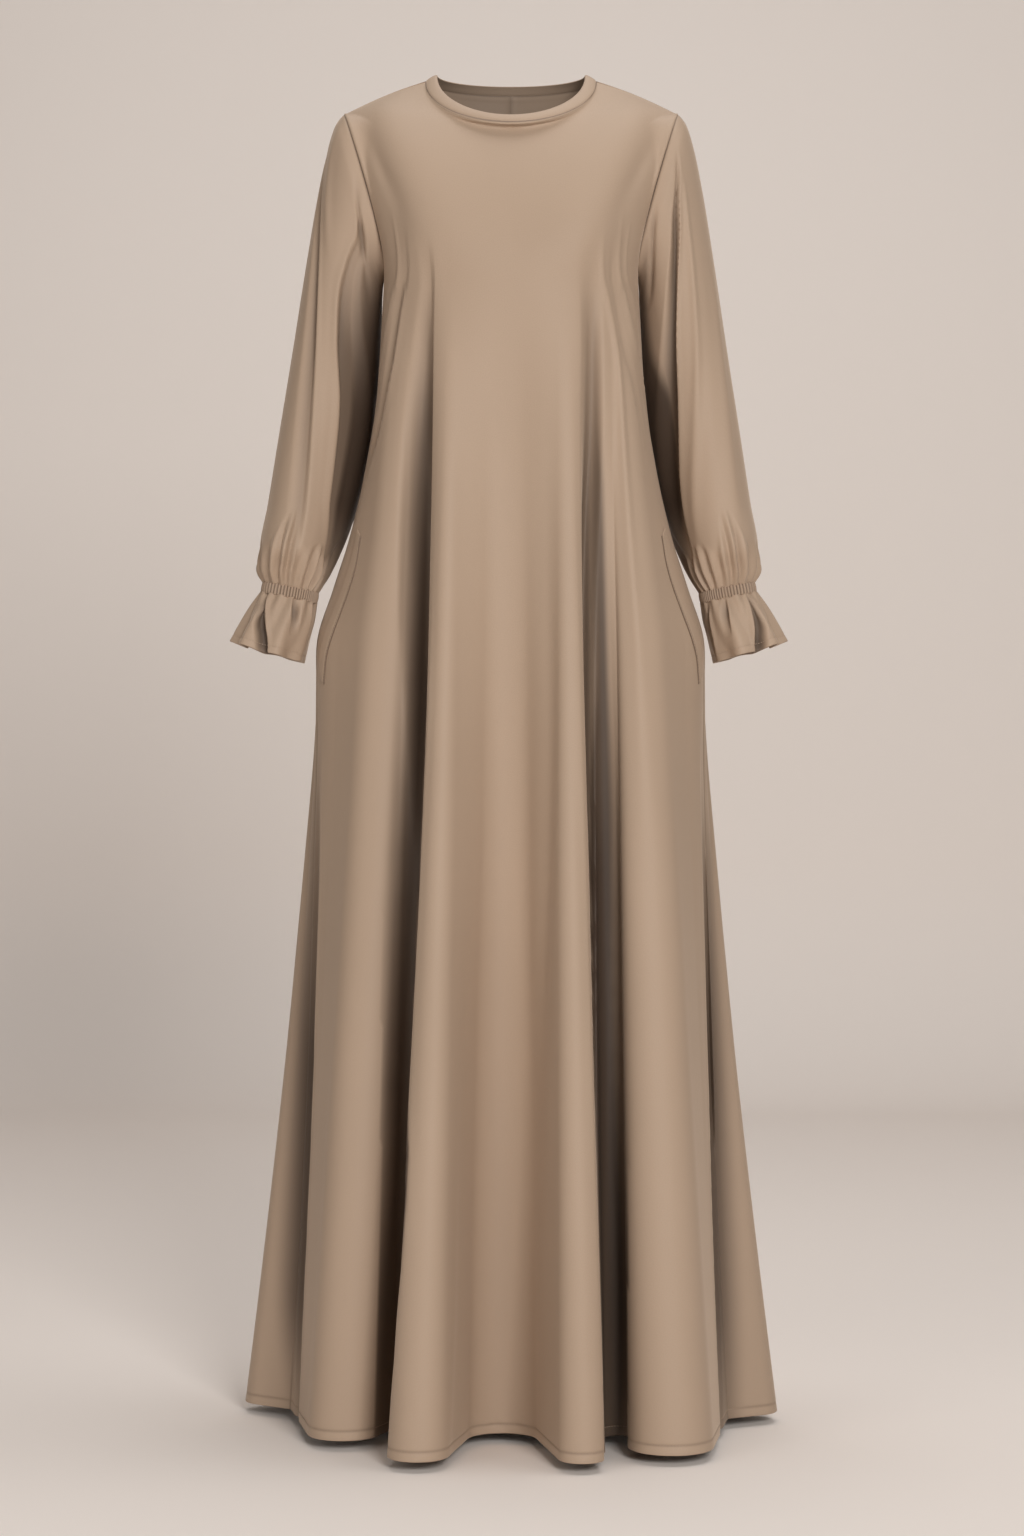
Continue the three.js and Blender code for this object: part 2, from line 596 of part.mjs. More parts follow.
function makeRuffle(name, sign) {
  const rows = ruffleRows.map((row) => ({ ...row, at: 1, down: row.at }));
  const base = ringGrid(rows, sign, swing[name]);
  const normals = gridNormals(base, true, -sign);
  normals[0] = ringAngles.map((angle) => ringNormal(rows[0], angle, sign));
  const rise = (r, c) => {
    const angle = ringAngles[c];
    const { down } = rows[r];
    const share = mix(ruffle.innerShare, 1, (1 + Math.cos(angle)) / 2);
    const pinch = ruffle.pinchRise * (1 - down) * Math.cos(ruffle.pinches * angle);
    const uneven = 0.5 * Math.sin(2 * angle + 1);
    return pinch + ruffle.waveRise * down * share * Math.cos(ruffle.waves * angle + uneven);
  };
  const outer = offsetGrid(base, normals, rise);
  const inner = offsetGrid(outer, normals, () => -cloth.wall);
  return wallMesh(`cuff_ruffle_${name}`, taupe, outer, inner, true);
}

// Neck binding

function makeBinding() {
  const corners = bodyPlaces
    .map((place, c) => ({ ...topPart(place), c }))
    .filter(({ part, front: inFront, along }) => part === "neck" || (inFront && along === 0))
    .map(({ c }) => edgeCorner(c));
  const brim = corners.map(({ place }) => {
    const top = topPart(place);
    const point = neckPoint(neckBrim, top.part === "neck" ? top.along : 1, top.front);
    if (place < meets.front) point.x *= -1;
    return point;
  });
  const over = acrossSeam(corners, brim.map((point, c) => point.clone().sub(corners[c].point)));
  const seam = corners.map((corner, c) => moved(corner.point, over[c], cloth.seamGap));
  const crown = seam.map((point, c) => point.clone().lerp(brim[c], 0.5));
  const base = [brim, crown, seam];
  const normals = gridNormals(base, true);
  normals[2] = corners.map((corner) => corner.normal);
  const outer = offsetGrid(base, normals, (r) => (r === 1 ? neckSeam.crown : 0));
  const inner = offsetGrid(base, normals, (r) => -(r === 2 ? cloth.wall : cloth.bindingWall));
  return wallMesh("neck_binding", taupe, outer, inner, true);
}

// Pockets: a welt on the front panel beside the side seam, and a bag inside it

// The first columns of the front panel beside a side seam, from one height to another.
function besideSeam(sign, count, top, end) {
  const low = sign < 0 ? 0 : front.outer[0].length - count;
  const cut = (grid, c) => grid.slice(rowOf(top), rowOf(end) + 1).map((row) => row.slice(c, c + count));
  return {
    outer: cut(front.outer, low),
    inner: cut(front.inner, low),
    normals: cut(bodyNormals, seamRight + low),
  };
}

function makeWelt(name, sign) {
  const { outer, normals } = besideSeam(sign, 2, pocket.top, pocket.end);
  const under = offsetGrid(outer, normals, () => cloth.seamGap);
  const over = offsetGrid(outer, normals, () => cloth.seamGap + cloth.weltWall);
  return wallMesh(`pocket_welt_${name}`, taupe, over, under, false);
}

function makeBag(name, sign) {
  const { inner, normals } = besideSeam(sign, pocket.bagColumns, pocket.bagTop, pocket.bagEnd);
  const near = offsetGrid(inner, normals, () => -cloth.seamGap);
  const far = offsetGrid(inner, normals, () => -cloth.seamGap - cloth.bagWall);
  return wallMesh(`pocket_bag_${name}`, taupeInside, near, far, false);
}

const abaya = new THREE.Group();
abaya.name = "abaya";
abaya.add(wallMesh("front", taupe, front.outer, front.inner, false));
abaya.add(wallMesh("back_right", taupe, backRight.outer, backRight.inner, false));
abaya.add(wallMesh("back_left", taupe, backLeft.outer, backLeft.inner, false));
abaya.add(makeBinding());
for (const [name, sign] of [["right", -1], ["left", 1]]) {
  abaya.add(makeSleeve(name, sign));
  abaya.add(makeBand(name, sign));
  abaya.add(makeRuffle(name, sign));
  abaya.add(makeWelt(name, sign));
  abaya.add(makeBag(name, sign));
}

export default abaya;
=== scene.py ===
import math
import bpy
import numpy as np
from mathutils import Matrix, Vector


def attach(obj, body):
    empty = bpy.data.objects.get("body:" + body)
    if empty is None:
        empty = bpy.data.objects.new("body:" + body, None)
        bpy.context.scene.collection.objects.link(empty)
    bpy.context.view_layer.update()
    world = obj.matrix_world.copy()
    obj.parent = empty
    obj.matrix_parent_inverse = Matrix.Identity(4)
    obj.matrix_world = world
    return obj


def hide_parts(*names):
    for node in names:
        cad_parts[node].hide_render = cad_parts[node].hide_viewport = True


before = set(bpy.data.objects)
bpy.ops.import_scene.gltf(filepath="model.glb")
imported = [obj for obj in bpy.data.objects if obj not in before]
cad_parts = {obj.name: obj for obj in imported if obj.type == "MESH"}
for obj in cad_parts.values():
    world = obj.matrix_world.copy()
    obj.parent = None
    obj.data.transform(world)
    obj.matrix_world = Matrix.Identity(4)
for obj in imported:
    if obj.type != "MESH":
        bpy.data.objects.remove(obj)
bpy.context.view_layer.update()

# A long A-line abaya, filled out as if worn. Lengths below are in millimetres, and mm turns them
# into the scene's metres. +Z is up, the front faces -Y and the wearer's left is +X.
mm = 0.001

cloth = {
    "wall": 1.1,        # one layer with its finish
    "hemWall": 2.0,     # the turned-up hem
    "hemTurn": 14,
    "neckStitch": 4.5,  # below the binding's seam
    "hemStitch": 9,     # height of the hem's stitch line above the edge
    "bustZ": -235,      # where the skirt's folds start
    "hemZ": -1436,
    "frontCloseness": 24, "backCloseness": 17,   # columns to a fold where they don't crowd
    "yokeSteps": 44,
    "edgeRows": 7, "edgeShare": 0.05,   # rows close together below the top edge
    "skirtStep": 9.5,
    "lastStep": 4,      # the least room between the last even row and the hem's turn
    "turnStep": 0.8,    # how far above its turn the hem starts to thicken
    "hemRows": {"turn": [1.5, 0], "stitch": [2.5, 1, 0, -1, -2.5], "edge": [3, 1.2, 0]},
    "seamDip": 1.1,     # how far a seam sinks into the surface
    "seamWidth": 2.4,
    "seamReach": 0.6,   # in folds
    "hemSink": 0.45, "hemSinkWidth": 1.3,
    "neckSink": 0.4, "neckSinkWidth": 1,
    # darkFold, foldShade and shadeReach set the folds' painted shade.
    "darkFold": 19,     # a fold this deep is as dark as its depth makes it
    "foldShade": 0.7,   # and that is how dark
    "shadeReach": 1.5,  # in folds, from an edge to the end of its shade
}


# Formulas that every piece uses

# 3t^2 - 2t^3, with t held between 0 and 1.
def smoothStep(t):
    t = np.clip(t, 0, 1)
    return t * t * (3 - 2 * t)


def mix(a, b, t):
    return a + (b - a) * t


# 1 between the inner two heights, fading to 0 at the outer two.
def fadeBetween(value, start, full, last, end):
    rising = smoothStep((value - start) / (full - start))
    return rising * smoothStep((end - value) / (end - last))


# A bell: 1 at 0, and about a third where the distance is the width.
def bell(distance, wide):
    return np.exp(-(distance / wide) ** 2)


def nearest(values, wanted):
    return int(np.argmin(np.abs(values - wanted)))


def turnsRound(count):
    return np.arange(count) * 2 * math.pi / count


# A smooth curve through a table's values that never overshoots them: a cubic for each span whose
# end slopes are the harmonic means of the slopes beside them.
def smoothThrough(at, value):
    at, value = np.array(at, float), np.array(value, float)
    slopes = np.diff(value) / np.diff(at)
    product = slopes[:-1] * slopes[1:]
    total = slopes[:-1] + slopes[1:]
    middle = np.where(product > 0, 2 * product / np.where(total == 0, 1, total), 0)
    tangents = np.concatenate([slopes[:1], middle, slopes[-1:]])

    def curve(x):
        i = np.clip(np.searchsorted(at, x, side="right") - 1, 0, len(slopes) - 1)
        span = at[i + 1] - at[i]
        t = np.clip((x - at[i]) / span, 0, 1)
        bend = tangents[i] * t * (1 - t) ** 2 - tangents[i + 1] * t * t * (1 - t)
        return mix(value[i], value[i + 1], smoothStep(t)) + span * bend

    return curve


def stack(x, y, z):
    return np.stack(np.broadcast_arrays(x, y, z), axis=-1).astype(float)


def unit(vectors):
    length = np.linalg.norm(vectors, axis=-1, keepdims=True)
    return vectors / np.maximum(length, 1e-9)


# The outward direction at each point of a grid: the cross product of the steps down and round.
def gridNormals(grid, closedRound, outward=1):
    if closedRound:
        across = np.roll(grid, -1, axis=1) - np.roll(grid, 1, axis=1)
    else:
        across = np.gradient(grid, axis=1)
    down = np.gradient(grid, axis=0)
    return unit(np.cross(down, across)) * outward


# Lengths along the rows of a grid, measured from the given column.
def lengthAcross(grid, fromColumn=0):
    steps = np.linalg.norm(np.diff(grid, axis=1), axis=2)
    total = np.concatenate([np.zeros((len(grid), 1)), np.cumsum(steps, axis=1)], axis=1)
    return total - total[:, fromColumn:fromColumn + 1]


def lengthDown(grid):
    return np.swapaxes(lengthAcross(np.swapaxes(grid, 0, 1)), 0, 1)


# A piece's own map: how far each point is along its row and down its column.
def ownMap(grid):
    return np.stack([lengthAcross(grid), -lengthDown(grid)], axis=-1)


# In square metres, each quad as half the sum of the two triangles' parallelograms.
def clothArea(grid):
    a, b = grid[1:, :-1] - grid[:-1, :-1], grid[:-1, 1:] - grid[:-1, :-1]
    c, d = grid[1:, :-1] - grid[1:, 1:], grid[:-1, 1:] - grid[1:, 1:]
    halves = np.linalg.norm(np.cross(a, b), axis=2).sum() + np.linalg.norm(np.cross(c, d), axis=2).sum()
    return halves / 2 * mm * mm


# Meshes

def makePiece(name, points, faces, material, uv=None, sharp=55, shade=None):
    mesh = bpy.data.meshes.new(name)
    mesh.from_pydata((points * mm).tolist(), [], faces)
    mesh.validate()
    if uv is not None:
        layer = mesh.uv_layers.new(name="cloth")
        corner = np.zeros(len(mesh.loops), np.int32)
        mesh.loops.foreach_get("vertex_index", corner)
        layer.data.foreach_set("uv", (uv[corner] * mm).astype(np.float32).ravel())
    if shade is not None:
        # foldShade holds the painted shade, which the cloth finish mixes into the colour.
        depth = mesh.attributes.new(name="foldShade", type="FLOAT", domain="POINT")
        depth.data.foreach_set("value", shade.astype(np.float32).ravel())
    mesh.shade_smooth()
    mesh.set_sharp_from_angle(angle=math.radians(sharp))
    mesh.materials.append(material)
    piece = bpy.data.objects.new(name, mesh)
    bpy.context.scene.collection.objects.link(piece)
    return piece


# The sum of a.(b x c + c x d) over the quads is six times the volume that they enclose, and it is
# negative when they face inwards.
def facesOutward(points, quads):
    a, b, c, d = (points[quads[:, k]] for k in range(4))
    return np.einsum("ij,ij->i", a, np.cross(b, c) + np.cross(c, d)).sum() >= 0


# Painted shade for the inside of the cloth.
paintedShadeInside = 0.3     # the least foldShade on the wrong side of the cloth


# A rounded edge between the outer and the inner wall: half circles that bulge away from the cloth.
def roundedRim(outerEdge, innerEdge, away, steps):
    t = (np.arange(1, steps + 1) / (steps + 1))[:, None, None]
    bulge = np.sin(math.pi * t) * np.linalg.norm(outerEdge - innerEdge, axis=-1)[None, :, None] / 2
    crossed = (1 - np.cos(math.pi * t)) / 2
    return mix(outerEdge[None], innerEdge[None], crossed) + unit(away)[None] * bulge


# Cloth with two sides: the outer grid, a rounded rim at its last row, the inner grid back up and
# a rounded rim at its first row. Where it isn't closed round, each side edge is capped. hollow
# becomes the foldShade attribute: painted shade, 0 on open cloth and nearing 1 at the bottom of a
# deep fold, with some pieces' dark seam lines in it; the inner side has at least a fixed share of it.
def clothShell(name, outer, inner, closedRound, material, uvGrid, rimSteps=3, hollow=0.0):
    rows, columns = outer.shape[:2]
    lowRim = roundedRim(outer[-1], inner[-1], outer[-1] - outer[-2], rimSteps)
    topRim = roundedRim(inner[0], outer[0], outer[0] - outer[1], rimSteps)
    loop = np.concatenate([outer, lowRim, inner[::-1], topRim])
    uvLoop = np.concatenate([
        uvGrid, np.repeat(uvGrid[-1:], rimSteps, 0), uvGrid[::-1], np.repeat(uvGrid[:1], rimSteps, 0)])
    shade = np.broadcast_to(hollow, (rows, columns)).astype(float)
    shadeLoop = np.concatenate([
        shade, np.repeat(shade[-1:], rimSteps, 0), np.maximum(shade[::-1], paintedShadeInside),
        np.repeat(shade[:1], rimSteps, 0)])
    count = len(loop)
    index = np.arange(count * columns).reshape(count, columns)
    below = np.roll(index, -1, axis=0)
    if closedRound:
        right, belowRight = np.roll(index, -1, axis=1), np.roll(below, -1, axis=1)
        quads = np.stack([index, below, belowRight, right], axis=-1).reshape(-1, 4)
        caps = []
    else:
        quads = np.stack([index[:, :-1], below[:, :-1], below[:, 1:], index[:, 1:]], axis=-1)
        quads = quads.reshape(-1, 4)
        last = count - rimSteps - 1
        caps = []
        for column, turn in ((0, 1), (columns - 1, -1)):
            edge = index[:, column]
            upper, lower = edge[:rows], edge[rows + rimSteps:last + 1][::-1]
            side = np.stack([upper[:-1], lower[:-1], lower[1:], upper[1:]], axis=-1)
            caps += side[:, ::turn].tolist()
            caps.append(edge[rows - 1:rows + rimSteps + 1][::-turn].tolist())
            caps.append(np.append(edge[last:], edge[0])[::-turn].tolist())
    points = loop.reshape(-1, 3)
    faces = quads.tolist() + caps
    if not facesOutward(points, quads):
        faces = [face[::-1] for face in faces]
    return makePiece(name, points, faces, material, uvLoop.reshape(-1, 2), shade=shadeLoop)


# A row of thread stitches along a path: each is a short tube of six sides, thin at both ends,
# lying on the cloth and bowed a little away from it.
def stitchRow(name, path, normals, material, closedPath, pitch=3.2, radius=0.34):
    sides, share = 6, 0.72      # share is how much of the pitch a stitch covers
    if closedPath:
        path, normals = np.vstack([path, path[:1]]), np.vstack([normals, normals[:1]])
    along = np.concatenate([[0], np.cumsum(np.linalg.norm(np.diff(path, axis=0), axis=1))])
    count = max(int(along[-1] / pitch), 1)
    ringAt = np.array([0, 0.18, 0.5, 0.82, 1.0])
    ringSize = np.array([0.35, 0.9, 1, 0.9, 0.35]) * radius
    lift = np.array([-0.5, 0.35, 0.6, 0.35, -0.5]) * radius
    start = (np.arange(count) + (1 - share) / 2) * along[-1] / count
    places = start[:, None] + ringAt[None] * share * along[-1] / count
    at = lambda values: np.stack([np.interp(places, along, values[:, k]) for k in range(3)], axis=-1)
    centre, normal = at(path), unit(at(normals))
    tangent = unit(np.gradient(centre, axis=1))
    side = unit(np.cross(tangent, normal))
    angle = turnsRound(sides)
    ring = side[:, :, None] * np.cos(angle)[:, None] + normal[:, :, None] * np.sin(angle)[:, None]
    points = (centre + normal * lift[:, None])[:, :, None] + ring * ringSize[:, None, None]
    index = np.arange(count * len(ringAt) * sides).reshape(count, len(ringAt), sides)
    beside = np.roll(index, -1, 2)
    quads = np.stack([index[:, :-1], beside[:, :-1], beside[:, 1:], index[:, 1:]], axis=-1).reshape(-1, 4)
    flat = points.reshape(-1, 3)
    faces = quads.tolist() + index[:, 0, ::-1].tolist() + index[:, -1].tolist()
    if not facesOutward(flat, quads):
        faces = [face[::-1] for face in faces]
    return makePiece(name, flat, faces, material)


# What the frame is told of a piece that takes a node's place.
def wearIt(piece, node):
    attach(piece, "root")
    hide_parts(node)


# A row of stitches takes no node's place.
def sewOn(stitches):
    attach(stitches, "root")


print("abaya: camera, floor and light")

view = {
    "focal": 76.3, "sensor": 36,    # along the picture's long side
    "across": 1, "away": -3500, "height": -744,
    "floorZ": -1448, "wallY": 3620, "coveRadius": 500, "coveSteps": 25,
    "floorReach": 7000, "wallTop": 4200,
}


def plainFinish(name, colour, roughness):
    material = bpy.data.materials.new(name)
    material.use_nodes = True
    shader = material.node_tree.nodes["Principled BSDF"]
    shader.inputs["Base Color"].default_value = (*colour, 1)
    shader.inputs["Roughness"].default_value = roughness
    shader.inputs["Specular IOR Level"].default_value = 0.2
    return material


# One sheet that is the floor, a quarter round cove and the wall behind.
def makeStage():
    quarter = np.linspace(0, math.pi / 2, view["coveSteps"])
    radius, wall, floor, reach = view["coveRadius"], view["wallY"], view["floorZ"], view["floorReach"]
    coveY = wall - radius + radius * np.sin(quarter)
    coveZ = floor + radius - radius * np.cos(quarter)
    profileY = np.concatenate([[-reach], coveY, [wall]])
    profileZ = np.concatenate([[floor], coveZ, [view["wallTop"]]])
    grid = stack(np.array([[-reach, reach]]), profileY[:, None], profileZ[:, None])
    index = np.arange(grid.shape[0] * 2).reshape(-1, 2)
    quads = np.stack([index[:-1, 0], index[:-1, 1], index[1:, 1], index[1:, 0]], axis=-1)
    backdrop = makePiece("stage_floor_and_wall", grid.reshape(-1, 3), quads.tolist(),
                         plainFinish("paleStage", (0.89, 0.825, 0.775), 0.75))


# A rectangle of soft light at a place, facing a point of the garment.
def softLight(name, place, aim, size, power, colour=(1, 1, 1)):
    lamp = bpy.data.lights.new(name, "AREA")
    lamp.shape = "RECTANGLE"
    lamp.size, lamp.size_y = size[0] * mm, size[1] * mm
    lamp.energy = power
    lamp.color = colour
    holder = bpy.data.objects.new(name, lamp)
    holder.location = Vector(place) * mm
    holder.rotation_euler = (Vector(aim) - Vector(place)).to_track_quat("-Z", "Y").to_euler()
    bpy.context.scene.collection.objects.link(holder)


def makeCamera():
    lens = bpy.data.cameras.new("camera")
    lens.lens = view["focal"]
    lens.sensor_width = view["sensor"]
    camera = bpy.data.objects.new("camera", lens)
    camera.location = Vector((view["across"], view["away"], view["height"])) * mm
    camera.rotation_euler = (math.radians(90), 0, 0)
    bpy.context.scene.collection.objects.link(camera)
    bpy.context.scene.camera = camera


makeCamera()
makeStage()
softLight("key", (1200, -4500, 750), (0, 0, -750), (1300, 1500), 142, (1, 0.98, 0.96))
softLight("fill", (-2600, -3400, -200), (0, 0, -750), (1500, 2200), 30, (1, 0.95, 0.9))
softLight("top", (500, 100, 2700), (400, -300, -1448), (3000, 1500), 66, (1, 0.98, 0.97))
softLight("wallLight", (0, 1500, 1500), (0, 3600, -1200), (3600, 1200), 11, (1, 0.98, 0.97))
world = bpy.data.worlds.new("studio")
world.use_nodes = True
world.node_tree.nodes["Background"].inputs["Color"].default_value = (0.86, 0.79, 0.72, 1)
world.node_tree.nodes["Background"].inputs["Strength"].default_value = 0.1
bpy.context.scene.world = world
bpy.context.scene.view_settings.view_transform = "Standard"

print("abaya: cloth finishes")

# weave is the size of a thread's pattern, relief its bump's strength.
finishes = {
    "cloth": {"colour": (0.44, 0.325, 0.238), "shade": (0.36, 0.265, 0.19),
              "roughness": 0.58, "sheen": 0.42, "weave": 0.55, "relief": 0.12},
    "elastic_cloth": {"colour": (0.41, 0.30, 0.22), "shade": (0.33, 0.24, 0.175),
                      "roughness": 0.6, "sheen": 0.3, "weave": 0.6, "relief": 0.2},
    "inside_cloth": {"colour": (0.36, 0.265, 0.195), "shade": (0.3, 0.22, 0.16),
                     "roughness": 0.62, "sheen": 0.2, "weave": 0.6, "relief": 0.15},
}
# The dark colour of painted shade, which foldShade mixes into the cloth's colour.
paintedShadeColour = (0.055, 0.035, 0.024, 1)
roughEitherWay = 0.05


# A fine twill: slanting ridges from a sawtooth of u + v, crossed by the threads' own grain.
# It puts out the relief of the threads, and their grain as a tone that is lighter where the grain rises.
def weaveGroup():
    group = bpy.data.node_groups.new("fineTwill", "ShaderNodeTree")
    group.interface.new_socket("Coordinates", in_out="INPUT", socket_type="NodeSocketVector")
    group.interface.new_socket("Thread", in_out="INPUT", socket_type="NodeSocketFloat")
    group.interface.new_socket("Relief", in_out="OUTPUT", socket_type="NodeSocketFloat")
    group.interface.new_socket("Tone", in_out="OUTPUT", socket_type="NodeSocketFloat")
    nodes, links = group.nodes, group.links
    enter, leave = nodes.new("NodeGroupInput"), nodes.new("NodeGroupOutput")
    scale = nodes.new("ShaderNodeVectorMath")
    scale.operation = "SCALE"
    twill = nodes.new("ShaderNodeTexWave")
    twill.wave_type = "BANDS"
    twill.bands_direction = "DIAGONAL"
    twill.inputs["Scale"].default_value = 0.32
    twill.inputs["Distortion"].default_value = 0.6
    grain = nodes.new("ShaderNodeTexNoise")
    grain.inputs["Scale"].default_value = 0.5
    grain.inputs["Detail"].default_value = 3
    relief = nodes.new("ShaderNodeMath")
    relief.operation = "MULTIPLY_ADD"
    relief.inputs[1].default_value = 0.6
    links.new(enter.outputs["Coordinates"], scale.inputs[0])
    links.new(enter.outputs["Thread"], scale.inputs["Scale"])
    links.new(scale.outputs[0], twill.inputs["Vector"])
    links.new(scale.outputs[0], grain.inputs["Vector"])
    links.new(twill.outputs["Fac"], relief.inputs[0])
    links.new(grain.outputs["Fac"], relief.inputs[2])
    links.new(relief.outputs[0], leave.inputs["Relief"])
    links.new(grain.outputs["Fac"], leave.inputs["Tone"])
    return group


fineTwill = weaveGroup()


# Cloth with its weave on the piece's own map, a slow drift of tone and a soft nap. foldShade is
# painted shade: it turns the colour towards a dark painted shade colour and takes the nap away.
def clothFinish(name):
    look = finishes[name]
    material = bpy.data.materials.new(name)
    material.use_nodes = True
    nodes, links = material.node_tree.nodes, material.node_tree.links
    shader = nodes["Principled BSDF"]
    coordinates = nodes.new("ShaderNodeUVMap")
    coordinates.uv_map = "cloth"
    weave = nodes.new("ShaderNodeGroup")
    weave.node_tree = fineTwill
    weave.inputs["Thread"].default_value = 1000 / look["weave"]
    place = nodes.new("ShaderNodeTexCoord")
    drift = nodes.new("ShaderNodeTexNoise")
    drift.inputs["Scale"].default_value = 5
    drift.inputs["Detail"].default_value = 2
    tone = nodes.new("ShaderNodeMath")
    tone.operation = "MULTIPLY_ADD"
    tone.inputs[1].default_value = 0.5
    ramp = nodes.new("ShaderNodeMix")
    ramp.data_type = "RGBA"
    ramp.inputs["A"].default_value = (*look["shade"], 1)
    ramp.inputs["B"].default_value = (*look["colour"], 1)
    rough = nodes.new("ShaderNodeMapRange")
    rough.inputs["To Min"].default_value = look["roughness"] - roughEitherWay
    rough.inputs["To Max"].default_value = look["roughness"] + roughEitherWay
    bump = nodes.new("ShaderNodeBump")
    bump.inputs["Strength"].default_value = look["relief"]
    bump.inputs["Distance"].default_value = 0.0004
    links.new(coordinates.outputs["UV"], weave.inputs["Coordinates"])
    links.new(place.outputs["Object"], drift.inputs["Vector"])
    links.new(drift.outputs["Fac"], tone.inputs[0])
    links.new(weave.outputs["Tone"], tone.inputs[2])
    links.new(tone.outputs[0], ramp.inputs["Factor"])
    # Painted shade: the foldShade attribute mixes the painted shade colour into the base colour.
    hollow = nodes.new("ShaderNodeAttribute")
    hollow.attribute_name = "foldShade"
    deep = nodes.new("ShaderNodeMix")
    deep.data_type = "RGBA"
    deep.inputs["B"].default_value = paintedShadeColour
    links.new(hollow.outputs["Fac"], deep.inputs["Factor"])
    links.new(ramp.outputs["Result"], deep.inputs["A"])
    links.new(deep.outputs["Result"], shader.inputs["Base Color"])
    nap = nodes.new("ShaderNodeMapRange")
    nap.inputs["To Min"].default_value = look["sheen"]
    nap.inputs["To Max"].default_value = 0
    links.new(hollow.outputs["Fac"], nap.inputs["Value"])
    links.new(nap.outputs["Result"], shader.inputs["Sheen Weight"])
    links.new(weave.outputs["Tone"], rough.inputs["Value"])
    links.new(rough.outputs["Result"], shader.inputs["Roughness"])
    links.new(weave.outputs["Relief"], bump.inputs["Height"])
    links.new(bump.outputs["Normal"], shader.inputs["Normal"])
    shader.inputs["Sheen Roughness"].default_value = 0.3
    shader.inputs["Sheen Tint"].default_value = (0.95, 0.78, 0.62, 1)
    shader.inputs["Specular IOR Level"].default_value = 0.3
    return material


mainCloth = clothFinish("cloth")
elasticCloth = clothFinish("elastic_cloth")
insideCloth = clothFinish("inside_cloth")
threadFinish = plainFinish("sewingThread", (0.40, 0.30, 0.22), 0.5)

print("abaya: body form")

# The folds in order round the garment, from the centre back over the wearer's right side. At the
# hem each is an arc about (x, y), out of the skirt on a crest (1) and into it in a hollow (-1),
# and straight cloth joins each arc to the next. turn is where the fold leaves the bust line, in
# degrees from the centre front, and late above 1 keeps its spread for the lower skirt.
foldColumns = ["side", "x", "y", "radius", "turn", "late"]
foldTable = {
    "centre back hollow": (-1, -4, 166, 32, -180, 1),
    "right back crest": (1, -74, 222, 34, -169, 1.1),
    "right back hollow": (-1, -124, 184, 15, -157, 1.1),
    "right hip crest": (1, -184, 170, 36, -141, 1.1),
    "right hip hollow": (-1, -233, 128, 16, -121, 1.1),
    "right side crest": (1, -262, 68, 29, -105, 1.1),
    "right seam hollow": (-1, -256, 5, 20, -90, 1),
    "right outer crest": (1, -174, -112, 38, -57, 1),
    "right deep hollow": (-1, -112, -99, 14, -38, 1.1),
    "right front crest": (1, -94, -222, 31, -25, 1.5),
    "centre front hollow": (-1, -9, -146, 36, -1, 1),
    "left front crest": (1, 71, -236, 24, 20, 1.3),
    "left deep hollow": (-1, 111, -136, 15, 36, 1.1),
    "left outer crest": (1, 163, -178, 44, 57, 1),
    "left seam hollow": (-1, 247, -46, 18, 90, 1),
    "left side crest": (1, 258, 12, 29, 105, 1.1),
    "left hip hollow": (-1, 230, 98, 16, 121, 1.1),
    "left hip crest": (1, 184, 160, 36, 141, 1.1),
    "left back hollow": (-1, 124, 180, 16, 157, 1.1),
    "left back crest": (1, 68, 220, 33, 169, 1.1),
}
folds = dict(zip(foldColumns, np.array(list(foldTable.values()), float).T))
foldCount = len(foldTable)
wholePlaces = np.arange(foldCount + 1)
turnAt = smoothThrough(wholePlaces, np.append(folds["turn"], 180))
lateAt = smoothThrough(wholePlaces, np.append(folds["late"], folds["late"][0]))

bodyForm = {
    "bustHalf": 137, "bustFront": 120, "bustBack": 97, "bustSquare": 2.4,
    "depthGrowth": 1.05,
    "hipSpread": 22,    # degrees from the side seam at which the hips' push has faded to a third
    "chestX": 78, "chestZ": -190, "chestRise": 6, "chestWide": 48, "chestTall": 55,
    "acrossEase": 1.4, "deepEase": 2, "overShoulder": 0.6,
}
hips = {"z": [-235, -340, -425, -494, -550, -611, -649, -735, -833, -943, -1075, -1262, -1436],
        "out": [0, -2, 4, 14, 27, 40, 37, 30, 25, 19, 12, 5, 0]}
hipsAt = smoothThrough(-np.array(hips["z"]), hips["out"])
neckSeam = {"half": 92, "front": 72, "back": 62, "side": -6, "frontDrop": 57, "backDrop": 3}
neckBrim = {"half": 80.6, "front": 66, "back": 58, "side": 1, "frontDrop": 55.5, "backDrop": 1}
shoulder = {"x": 179, "y": 3, "z": -41, "rise": 2.5}
armhole = {"x": 134, "z": -212, "curl": 1.25, "front": 48, "back": 42, "round": 0.8}
meets = {"backNeckSide": 2, "backShoulder": 3.5, "seam": 6, "frontShoulder": 8,
         "frontNeckSide": 9, "front": 10}
leftSeam = foldCount - meets["seam"]


# Places counted from the centre back over either side to the centre front.
def fromBack(place):
    return np.where(place <= meets["front"], place, foldCount - place)


